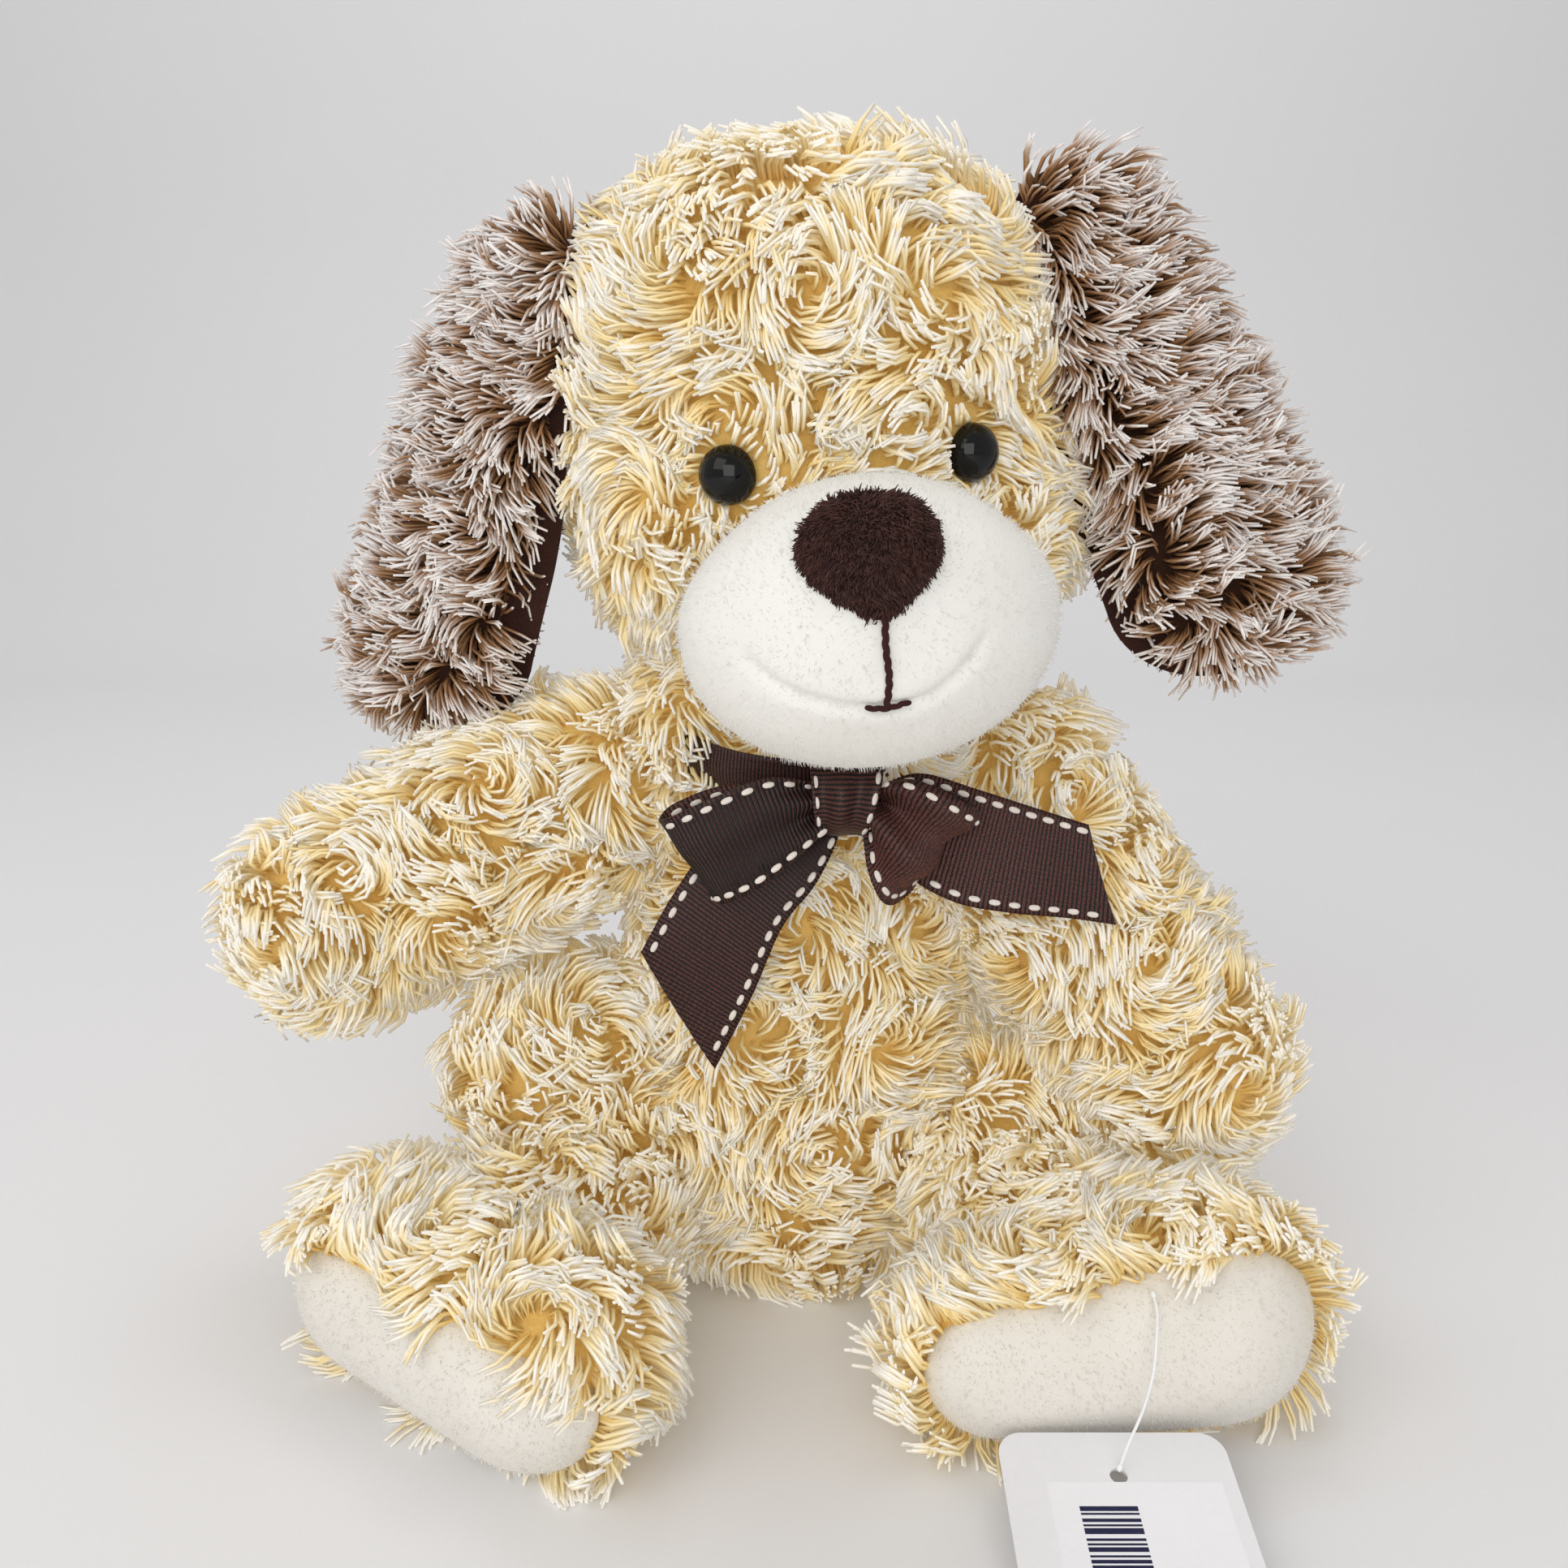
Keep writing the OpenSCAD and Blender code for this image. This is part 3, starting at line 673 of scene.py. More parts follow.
def grosgrain_group():
    """Grosgrain weave from the cloth's own map, in millimetres: ribs that run across the ribbon, with
    painted shade in the valleys between them and a painted highlight on their crests.
    """
    group, start, end = new_group("Grosgrain", {
        "Color": (COLOUR, (0.05, 0.02, 0.02, 1)), "Valley": (COLOUR, (0.01, 0.005, 0.005, 1)),
        "Rib Pitch": (VALUE, 1.0),
    }, {"Color": COLOUR, "Height": VALUE})
    uv = node(group, "ShaderNodeUVMap", uv_map="Cloth").outputs["UV"]
    split = node(group, "ShaderNodeSeparateXYZ", {"Vector": uv})
    turns = node(group, "ShaderNodeMath", {0: split.outputs["X"], 1: start.outputs["Rib Pitch"]},
                 operation="DIVIDE").outputs[0]
    angle = node(group, "ShaderNodeMath", {0: turns, 1: 2 * np.pi}, operation="MULTIPLY").outputs[0]
    wave = node(group, "ShaderNodeMath", {0: angle}, operation="COSINE").outputs[0]
    threads = node(group, "ShaderNodeTexNoise", {"Vector": uv, "Scale": 3.0, "Detail": 3.0}).outputs[0]
    rib = node(group, "ShaderNodeMapRange", {0: wave, 1: -1.0, 2: 0.2}).outputs[0]
    mottled = node(group, "ShaderNodeMath", {0: rib, 1: threads}, operation="MULTIPLY").outputs[0]
    # Painted light: on the ribs' crests the colour is the ribbon's, lifted to a painted highlight, and in
    # the valleys between them it falls to the near-black Valley colour, painted shade; the thread noise
    # mottles both.
    painted_rib_light = node(group, "ShaderNodeMapRange", {0: mottled, 1: 0.3, 2: 0.72}).outputs[0]
    group.links.new(mix_colour(group, painted_rib_light, start.outputs["Valley"], start.outputs["Color"]),
                    end.inputs["Color"])
    group.links.new(mottled, end.inputs["Height"])
    return group


GROUPS = {}


def shared(name, make):
    """The node group of this name, made the first time it is asked for."""
    if name not in GROUPS:
        GROUPS[name] = make()
    return GROUPS[name]


def new_material(name, **sockets):
    """A material with one Principled shader whose named sockets hold plain values."""
    mat = bpy.data.materials.new(name)
    mat.use_nodes = True
    shader = mat.node_tree.nodes["Principled BSDF"]
    for key, value in sockets.items():
        shader.inputs[key.replace("_", " ")].default_value = value
    return mat, mat.node_tree, shader


def group_node(tree, group, **inputs):
    """Places a node group in a material, with its inputs set."""
    made = tree.nodes.new("ShaderNodeGroup")
    made.node_tree = group
    for key, value in inputs.items():
        made.inputs[key.replace("_", " ")].default_value = value
    return made


def yarn_material(name, root, middle, tip, slide=0.5, mottle=0.2, glow=0.085):
    """Dyed acrylic yarn; a faint glow of its own colour stands for the light that passes from yarn
    to yarn.
    """
    mat, tree, shader = new_material(name, Roughness=0.8)
    shader.inputs["Specular IOR Level"].default_value = 0.1
    tone = group_node(tree, shared("yarn", yarn_tone_group), Root=root, Middle=middle, Tip=tip,
                      Slide=slide, Mottle=mottle)
    tree.links.new(tone.outputs["Color"], shader.inputs["Base Color"])
    tree.links.new(tone.outputs["Color"], shader.inputs["Emission Color"])
    shader.inputs["Emission Strength"].default_value = glow
    return mat


def felt_material(name, colour, shadow, patch=60.0, nap=1400.0, amount=0.5, bump=0.3, distance=0.0004,
                  sheen=0.4):
    """Short-piled fabric, with its nap as a bump and a soft sheen."""
    mat, tree, shader = new_material(name, Roughness=0.95, Sheen_Weight=sheen, Sheen_Roughness=0.4)
    shader.inputs["Specular IOR Level"].default_value = 0.15
    felt = group_node(tree, shared("felt", felt_group), Color=colour, Shadow=shadow,
                      Patch_Scale=patch, Nap_Scale=nap, Amount=amount)
    tree.links.new(felt.outputs["Color"], shader.inputs["Base Color"])
    lift = node(tree, "ShaderNodeBump", {"Height": felt.outputs["Height"], "Strength": bump,
                                         "Distance": distance})
    tree.links.new(lift.outputs["Normal"], shader.inputs["Normal"])
    return mat


def grosgrain_material(name, colour, valley_shade):
    """Ribbon with ribs across it, from the cloth map, with painted shade in their valleys and a painted
    highlight on their crests.
    """
    mat, tree, shader = new_material(name, Roughness=0.5, Sheen_Weight=0.02)
    shader.inputs["Specular IOR Level"].default_value = 0.35
    weave = group_node(tree, shared("grosgrain", grosgrain_group), Color=colour, Valley=valley_shade,
                       Rib_Pitch=RIB_PITCH)
    tree.links.new(weave.outputs["Color"], shader.inputs["Base Color"])
    lift = node(tree, "ShaderNodeBump", {"Height": weave.outputs["Height"], "Strength": 0.4,
                                         "Distance": 0.0001})
    tree.links.new(lift.outputs["Normal"], shader.inputs["Normal"])
    return mat


# ---- Settings ----

def colour_prop(name, description, default):
    """A colour setting."""
    return bpy.props.FloatVectorProperty(name=name, description=description, subtype="COLOR", size=4,
                                         min=0, max=1, default=default)


def length_prop(name, description, default, low, high):
    """A length setting, given in millimetres."""
    return bpy.props.FloatProperty(name=name, description=description, default=default * MM, min=low * MM,
                                   max=high * MM, unit="LENGTH")


class PlushFurSettings(bpy.types.PropertyGroup):
    length: length_prop("Length", "Length of a fur yarn on the body", 13.0, 6, 18)
    ear_length: length_prop("Ear length", "Length of a fur yarn on the ears", 12.5, 6, 18)
    width: length_prop("Width", "Width of a fur yarn", 1.05, 0.5, 1.6)
    seed: bpy.props.IntProperty(name="Seed", description="Start of the random draws", default=7, min=0)
    root: colour_prop("Root", "Colour of the fur at its root", srgb(236, 202, 124))
    middle: colour_prop("Middle", "Colour of the fur half way along", srgb(249, 231, 182))
    tip: colour_prop("Tip", "Colour of the fur at its tip", srgb(253, 249, 240))
    ear_root: colour_prop("Ear root", "Colour of the ear fur at its root", srgb(104, 70, 44))
    ear_middle: colour_prop("Ear middle", "Colour of the ear fur half way along", srgb(168, 128, 92))
    ear_tip: colour_prop("Ear tip", "Colour of the ear fur at its tip", srgb(250, 246, 244))


class PlushFleeceSettings(bpy.types.PropertyGroup):
    white: colour_prop("Muzzle", "Colour of the muzzle's fleece", srgb(243, 242, 238))
    pad: colour_prop("Foot pads", "Colour of the foot pads' fleece", srgb(236, 232, 225))
    nose: colour_prop("Nose", "Colour of the nose's pile", srgb(62, 38, 35))
    lining: colour_prop("Ear lining", "Colour of the ears' lining", srgb(66, 40, 34))
    pile: length_prop("Pile", "Length of the fleece's pile", 2.0, 0.5, 4)
    crease: length_prop("Smile depth", "Depth of the sewn smile", 1.3, 0, 3)


class PlushRibbonSettings(bpy.types.PropertyGroup):
    width: length_prop("Width", "Width of the bow's ribbon", 25.0, 22, 26)
    thickness: length_prop("Thickness", "Thickness of the ribbon", 0.5, 0.3, 1)
    # The ribbon colour is the cloth's red-brown lifted to a painted highlight for the ribs' crests; the
    # dark colour for the valleys between them is painted shade.
    colour: colour_prop("Ribbon", "Colour of the ribbon", srgb(112, 62, 54))
    thread: colour_prop("Stitches", "Colour of the ribbon's stitches", srgb(238, 230, 222))


class PlushTagSettings(bpy.types.PropertyGroup):
    card: colour_prop("Card", "Colour of the swing tag", srgb(240, 240, 243))
    ink: colour_prop("Ink", "Colour of the printed bars", srgb(40, 42, 70))


class PlushStageSettings(bpy.types.PropertyGroup):
    floor: colour_prop("Floor", "Colour of the floor and backdrop", srgb(236, 236, 238))
    focal: bpy.props.FloatProperty(name="Focal length",
                                   description="Camera focal length in millimetres on a 36 mm sensor",
                                   default=32.48, min=20, max=100)
    pitch: bpy.props.FloatProperty(name="Camera pitch", description="How far the camera looks down",
                                   default=float(np.radians(13)), subtype="ANGLE")


RIB_PITCH = 1.0
RIBBON_W = 25.0
STITCH_H, STITCH_PROUD = 0.75, 0.22
BAND_R, BAND_W, BAND_ROUND = 37.6, 11.0, 220.0
# The knot declares 0.6 of its 25 by 33 mm cut, to suit the cloth that is modelled: its tucked folds
# are not made, and the whole cut would fail the sheet's size test.
STITCH_PITCH, STITCH_LEN, STITCH_W, STITCH_INSET = 4.3, 2.7, 1.35, 1.9
MATERIALS = {}
EAR_YARNS = 6300
HAIRS = {"muzzle": 9000, "nose": 5800, "lining": 1800, "pad": 3500}


def materials():
    """Every material of the dog, made once from the settings."""
    if MATERIALS:
        return MATERIALS
    s = bpy.context.scene
    fur, fleece, ribbon = s.plush_fur, s.plush_fleece, s.plush_ribbon
    MATERIALS["fur"] = yarn_material("Cream fur yarn", fur.root, fur.middle, fur.tip)
    MATERIALS["ear_fur"] = yarn_material("Brown frosted fur yarn", fur.ear_root, fur.ear_middle,
                                         fur.ear_tip, slide=0.4, glow=0.05)
    MATERIALS["backing"] = felt_material("Cream fur backing", fur.root, srgb(204, 156, 78), 90, 1500, 0.7)
    MATERIALS["ear_backing"] = felt_material("Brown fur backing", srgb(58, 36, 24), srgb(36, 20, 14),
                                             90, 1500, 0.7)
    MATERIALS["muzzle"] = felt_material("White fleece", fleece.white, srgb(232, 230, 224), 70, 1700,
                                        0.5, 0.25)
    MATERIALS["pad"] = felt_material("Cream fleece", fleece.pad, srgb(224, 218, 206), 60, 1700, 0.5, 0.25)
    MATERIALS["nose"] = felt_material("Brown nose fleece", fleece.nose, srgb(22, 10, 9), 160, 1500, 1.0,
                                      0.6, sheen=0.0)
    MATERIALS["lining"] = felt_material("Brown ear lining", fleece.lining, srgb(36, 20, 17), 120, 1600,
                                        0.8, 0.5)
    # srgb(7, 1, 1) is painted shade, the near-black of the valleys between the ribs.
    MATERIALS["ribbon"] = grosgrain_material("Brown grosgrain", ribbon.colour, srgb(7, 1, 1))
    MATERIALS["thread"] = felt_material("White stitch thread", ribbon.thread, srgb(206, 194, 184), 900,
                                        5000, 0.6, 0.5, 0.0001, 0.1)
    MATERIALS["mouth"] = felt_material("Brown embroidery thread", srgb(66, 36, 36), srgb(36, 18, 18),
                                       900, 5000, 0.6, 0.5, 0.0001, 0.1)
    MATERIALS["fill"] = felt_material("Polyester filling", srgb(246, 246, 244), srgb(222, 222, 220), 90,
                                      900, 0.5)
    MATERIALS["calico"] = felt_material("Calico bag", srgb(226, 220, 202), srgb(196, 188, 166), 200,
                                        2400, 0.5)
    MATERIALS["white_pile"] = felt_material("White fleece pile", srgb(246, 245, 242),
                                            srgb(238, 236, 231), 120, 2000, 0.4, 0.1)
    MATERIALS["pad_pile"] = felt_material("Cream fleece pile", srgb(240, 236, 229), srgb(228, 223, 212),
                                          120, 2000, 0.4, 0.1)
    MATERIALS["nose_pile"] = felt_material("Brown pile tufts", srgb(98, 68, 62), srgb(30, 15, 13), 700,
                                           2600, 1.0, 0.2, sheen=0.05)
    return MATERIALS


def plastic_material(name, colour, roughness, dust=0.12):
    """Moulded plastic whose gloss is dulled in patches by fine dust."""
    mat, tree, shader = new_material(name, Roughness=roughness, IOR=1.38)
    coords = node(tree, "ShaderNodeTexCoord").outputs["Object"]
    noise = node(tree, "ShaderNodeTexNoise", {"Vector": coords, "Scale": 350.0, "Detail": 3.0}).outputs[0]
    rough = node(tree, "ShaderNodeMapRange",
                 {0: noise, 1: 0.35, 2: 0.75, 3: roughness, 4: roughness + dust}).outputs[0]
    tree.links.new(rough, shader.inputs["Roughness"])
    tree.links.new(mix_colour(tree, noise, colour,
                              tuple(min(1.0, c * 1.35 + 0.002) for c in colour[:3]) + (1.0,)),
                   shader.inputs["Base Color"])
    return mat


# ---- Soft bodies ----

def add_padded(name, surface, body, material, fill, *nodes):
    """A stuffed piece that stands for its skin and filling and rides on their body."""
    obj = close_mesh(make_piece(name, *surface, material))
    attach(obj, body)
    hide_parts(*nodes)
    return obj


class PLUSH_OT_bodies(bpy.types.Operator):
    """Builds the stuffed bodies that the fur grows on"""
    bl_idname = "plush.bodies"
    bl_label = "Stuffed bodies"

    def execute(self, context):
        backing = materials()["backing"]
        add_padded("torso_fabric", torso_surface(), "torso", backing, 0.8, "torso_skin", "torso_stuffing")
        add_padded("head_fabric", head_surface(), "head", backing, 0.9, "head_skin", "head_stuffing")
        neck = round_cone(HEAD.at + [0, 0, -26], HEAD.at + [0, 0, -18], 25, 26, 40, 60)
        add_padded("neck_fabric", neck, "neck", backing, 0.7, "neck_gusset")
        for side, label in SIDES.items():
            arm = arm_surface(side)
            add_padded(f"arm_{label}_fabric", arm, f"arm_{label}", backing, 0.8,
                       f"arm_{label}_skin", f"arm_{label}_stuffing")
            leg = leg_surface(side)
            add_padded(f"leg_{label}_fabric", leg, f"leg_{label}", backing, 0.8,
                       f"leg_{label}_skin", f"leg_{label}_stuffing")
        tail = round_cone(TAIL_ROOT, TAIL_TIP, TAIL_ROOT_R, TAIL_TIP_R, 30, 40)
        add_padded("tail_fabric", tail, "tail", backing, 0.7, "tail_skin", "tail_stuffing")
        NODES["pellet_bag"].data.materials.clear()
        NODES["pellet_bag"].data.materials.append(materials()["calico"])
        return {"FINISHED"}


# ---- Muzzle, nose, mouth and eyes ----

SMILE = {
    RIGHT: np.array([[-32, -10.5], [-30.2, -14.5], [-25, -20], [-16, -24], [-8, -25.3], [-5.5, -25.4]],
                    float),
    LEFT: np.array([[-5.5, -25.4], [-1, -25.2], [4.5, -23.4], [10, -19.2], [14.5, -14], [16.5, -11]],
                   float),
}


def muzzle_surface(crease, rows=130, cols=200):
    """An oval with its poles in front and behind, narrower on top, with a smile sewn in as a
    valley whose lower lip swells.
    """
    t = np.linspace(0, np.pi, rows)[:, None]
    f = np.linspace(0, 2 * np.pi, cols, endpoint=False)[None]
    x, y, z = np.sin(t) * np.cos(f), -np.cos(t) + 0 * f, np.sin(t) * np.sin(f)
    n = np.stack([x, y, z], -1).reshape(-1, 3)
    shape = n * MUZZLE_RADII
    shape[:, 0] *= 1 - 0.10 * smoothstep(0.1, 1.0, n[:, 2]) + 0.03 * smoothstep(0.0, 0.8, -n[:, 2])
    shape[:, 2] *= 1 + 0.03 * smoothstep(0.0, 0.9, -n[:, 2])
    q = shape + MUZZLE_CENTRE
    front = smoothstep(0.05, 0.35, -n[:, 1])
    out = unit(n / MUZZLE_RADII)
    for side in SIDES:
        line = smooth_path(SMILE[side], 60)
        gap = q[:, None, [0, 2]] - line[None]
        dist = np.linalg.norm(gap, axis=-1)
        pick = dist.argmin(1)
        d = dist[np.arange(len(q)), pick]
        below = gap[np.arange(len(q)), pick, 1]
        ends = smoothstep(0, 18, pick) if side == RIGHT else smoothstep(59, 41, pick)
        valley_shade = -crease * np.exp(-((d / 1.3) ** 2))
        lower_lip = 0.45 * np.exp(-(((below - 3.5) / 4) ** 2)) * np.exp(-((d / 7) ** 2))
        upper_lip = 0.25 * np.exp(-(((below + 3) / 3) ** 2)) * np.exp(-((d / 6) ** 2))
        swell = lower_lip + upper_lip
        shape = shape + out * ((valley_shade + swell) * front * ends)[:, None]
    return HEAD.out(shape + MUZZLE_CENTRE), grid_faces(rows, cols, close_cols=True, flip=True)


NOSE_RIM = np.array([
    [0, 12.8], [40, 12.6], [90, 11.2], [140, 13.0], [180, 13.2], [215, 11.2], [240, 11.0], [270, 12.6],
    [300, 11.0], [330, 11.2],
], float)


def nose_rim(angle):
    """Radius of the nose's outline at an angle, a rounded triangle with its point down."""
    wrapped = np.vstack([NOSE_RIM[-2:] - [360, 0], NOSE_RIM, NOSE_RIM[:2] + [360, 0]])
    dense = smooth_path(wrapped, 720)
    return np.interp(np.degrees(angle) % 360, dense[:, 0], dense[:, 1])


def nose_surface(rows=50, cols=120):
    """A dome over the rounded triangle: full in front, and tucked in behind its rim."""
    t = np.linspace(0, np.pi, rows)[:, None]
    f = np.linspace(0, 2 * np.pi, cols, endpoint=False)[None]
    rim = nose_rim(f) * np.sin(t) ** 0.85
    depth = np.where(t < np.pi / 2, 8.6, 6.0) * np.cos(t)
    x, z = rim * np.cos(f), rim * np.sin(f)
    y = -depth + 0.018 * x**2 * 0.6 + 0.10 * (z - 2)
    p = np.stack([x, y + 0 * x, z], -1).reshape(-1, 3)
    return HEAD.out(p + NOSE_CENTRE), grid_faces(rows, cols, close_cols=True, flip=True)


def pile(name, surface, body, material, count, rng, length, width, lean=(60, 25), density=None, flow=None,
         lift=0.2, swirls=30):
    """Short three-sided hairs over a fabric, two bends each, following a flow direction with a
    little scatter.
    """
    roots, normals = scatter(*surface, count, rng, density)
    field = Swirls(roots, swirls, rng)
    d = field.at(roots, normals) * 0.5
    if flow is not None:
        d = d + flow(roots)
    d = unit(d - (d * normals).sum(1, keepdims=True) * normals + 0.25 * rng.normal(size=roots.shape))
    size = (length * rng.uniform(0.6, 1.25, count))[:, None]
    p = [roots - normals * lift]
    for angle in lean:
        a = np.radians(np.clip(angle + rng.normal(0, 14, count), 2, 88))[:, None]
        p.append(p[-1] + size / len(lean) * (np.cos(a) * d + np.sin(a) * normals))
    path = np.stack(p, 1)
    path[..., 2] = np.maximum(path[..., 2], 0.3)
    obj = strands(name, path, rng.random(count), normals, material, width,
                  (1.0, 0.9, 0.35)[: len(lean) + 1])
    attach(obj, body)


class PLUSH_OT_face(bpy.types.Operator):
    """Builds the muzzle, nose, mouth stitches and eyes"""
    bl_idname = "plush.face"
    bl_label = "Face"

    def execute(self, context):
        fleece, mats = context.scene.plush_fleece, materials()
        rng = np.random.default_rng(context.scene.plush_fur.seed + 100)
        surface = muzzle_surface(fleece.crease / MM)
        add_padded("muzzle_fleece", surface, "head", mats["muzzle"], 0.9, "muzzle_skin", "muzzle_stuffing")
        centre = HEAD.out(MUZZLE_CENTRE)

        def free_front(p):
            q = HEAD.back(p)
            stitched = (np.abs(q[:, 0] + 5.4) < 1.5) & (q[:, 2] > -26) & (q[:, 2] < 0)
            stitched |= (np.abs(q[:, 0] + 5.2) < 4.8) & (np.abs(q[:, 2] + 25.0) < 1.2)
            return (head_depth(p) < 3) * (1.0 - stitched)

        pile("muzzle_pile", surface, "head", mats["white_pile"], HAIRS["muzzle"], rng,
             fleece.pile / MM * 0.6, 0.15, lean=(74, 50),
             density=free_front, flow=lambda p: unit(p - centre) * 0.7 + [0, 0.5, -0.2])
        nose = nose_surface()
        add_padded("nose_pad", nose, "head", mats["nose"], 1.0, "nose")
        pile("nose_pile", nose, "head", mats["nose_pile"], HAIRS["nose"], rng, 1.5, 0.42, lean=(44, 28),
             density=lambda p: (muzzle_depth(p) < 0.5).astype(float),
             flow=lambda p: np.array([0.1, 0, -0.9]) + 0 * p,
             swirls=14)
        self.mouth(mats)
        self.eyes()
        return {"FINISHED"}

    def mouth(self, mats):
        """Overlapping satin stitches down from the nose, and a short bar across under them."""
        line = np.array([[-5.2, -6.5], [-5.6, -13], [-5.2, -19], [-5.5, -24.5]])
        bar = np.array([[-8.6, -25.0], [-5.5, -25.3], [-2.0, -24.6]])
        path = np.vstack([smooth_path(line, 17), smooth_path(bar, 7)])
        direction = np.vstack([np.gradient(path[:17], axis=0), np.gradient(path[17:], axis=0)])
        n = (path - MUZZLE_CENTRE[[0, 2]]) / MUZZLE_RADII[[0, 2]]
        y = MUZZLE_CENTRE[1] - MUZZLE_RADII[1] * np.sqrt(np.clip(1 - (n**2).sum(1), 0, 1))
        at = np.stack([path[:, 0], y - 1.0, path[:, 1]], 1)
        out = unit((at - MUZZLE_CENTRE) / MUZZLE_RADII**2)
        run = unit(np.stack([direction[:, 0], 0 * y, direction[:, 1]], 1))
        wiggle = np.where(np.arange(len(at)) % 2 == 0, 0.28, -0.28)[:, None]
        run = unit(run + wiggle * np.cross(out, run))
        verts, faces = beads(HEAD.out(at), run @ HEAD.rotation.T, out @ HEAD.rotation.T, (2.3, 1.35, 0.8))
        obj = make_piece("mouth_stitches", verts, faces, mats["mouth"])
        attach(obj, "head")
        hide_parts("mouth_stitching")

    def eyes(self):
        """Glossy domes on short stems, and the white washers behind them."""
        gloss = plastic_material("Black glossy plastic", (0.002, 0.002, 0.0022, 1), 0.05, dust=0.04)
        white = plastic_material("White moulded washer", srgb(232, 232, 230), 0.4)
        for side, label in SIDES.items():
            frame_turn = HEAD.rotation @ turn(0, 0, EYE_ANGLE * side) @ turn(90, 0, 0)
            spin = turn(0, 0, EYE_ANGLE * side)
            at = HEAD.out(np.array([0, 0, EYE_Z]) + spin @ np.array([0, -HEAD_R + 0.1, 0]))
            place = Place(at, frame_turn)
            a = np.radians(np.linspace(90, 0, 24))
            dome = np.stack([EYE_R * np.cos(a), EYE_LIFT + EYE_DOME * np.sin(a)], 1)
            edge = np.array([[EYE_R - 0.25, EYE_LIFT - 0.5], [EYE_R - 1.0, EYE_LIFT - 0.9],
                             [2.2, EYE_LIFT - 0.9],
                             [2.0, EYE_LIFT - 1.3], [2.0, -9.0], [0, -9.0]])
            verts, faces = turned(np.vstack([dome, edge]), 72)
            obj = close_mesh(make_piece(f"eye_{label}_dome", place.out(verts), faces, gloss))
            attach(obj, "head")
            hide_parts(f"eye_{label}")
            washer = NODES[f"eye_washer_{label}"]
            washer.data.materials.clear()
            washer.data.materials.append(white)


def beads(at, run, out, size, rows=7, cols=10):
    """A flattened oval at each point, long along run, as a stitch of thread: size is its length,
    width and height.
    """
    t = np.linspace(0, np.pi, rows)[:, None]
    f = np.linspace(0, 2 * np.pi, cols, endpoint=False)[None]
    ball = np.stack([np.cos(t) + 0 * f, np.sin(t) ** 0.7 * np.cos(f), np.sin(t) ** 0.7 * np.sin(f)],
                    -1).reshape(-1, 3)
    ball = ball * np.array(size) / 2
    side = unit(np.cross(out, run))
    up = np.cross(run, side)
    verts = at[:, None] + ball[None, :, 0:1] * run[:, None]
    verts = verts + ball[None, :, 1:2] * side[:, None] + ball[None, :, 2:3] * up[:, None]
    quads = grid_faces(rows, cols, close_cols=True, flip=True)
    faces = (quads[None] + (np.arange(len(at)) * rows * cols)[:, None, None]).reshape(-1, 4)
    return verts.reshape(-1, 3), faces


# ---- Ears ----

def ear_leaf(side, front, back, grow=0.0, inward=0.0, rows=60, cols=36):
    """Closed leaf between two round ends: half widths from the two circles, a domed front and
    back, cupped along its length.
    """
    low, high = -EAR_TOP_R - grow, EAR_LEN + EAR_TIP_R + grow
    t = np.linspace(0, np.pi, rows)
    down = low + (high - low) * (1 - np.cos(t)) / 2
    lean = (EAR_TOP_R - EAR_TIP_R) / EAR_LEN
    straight = EAR_TOP_R + (EAR_TIP_R - EAR_TOP_R) * np.clip(down / EAR_LEN, 0, 1)
    top = np.sqrt(np.clip((EAR_TOP_R + grow) ** 2 - down**2, 0, None))
    tip = np.sqrt(np.clip((EAR_TIP_R + grow) ** 2 - (down - EAR_LEN) ** 2, 0, None))
    half = np.where(down < EAR_TOP_R * lean, top,
                    np.where(down > EAR_LEN + EAR_TIP_R * lean, tip, straight + grow))
    half[[0, -1]] = 0
    f = np.linspace(0, 2 * np.pi, cols, endpoint=False)
    across, through = np.cos(f)[None], np.sin(f)[None]
    x = half[:, None] * across - side * inward * smoothstep(0, 45, down)[:, None]
    dome = np.abs(through) ** 0.8 * np.sign(through)
    thick = np.where(through > 0, back, front) * smoothstep(0, 9, half)[:, None]
    y = dome * thick
    curl = 5.0 * (x / 20) ** 2 * smoothstep(10, 60, down)[:, None]
    cup = curl - 3.0 * np.sin(np.pi * np.clip(down / high, 0, 1))[:, None]
    verts = np.stack([x, y + cup, -down[:, None] + 0 * x], -1).reshape(-1, 3)
    return verts, grid_faces(rows, cols, close_cols=True, flip=True)


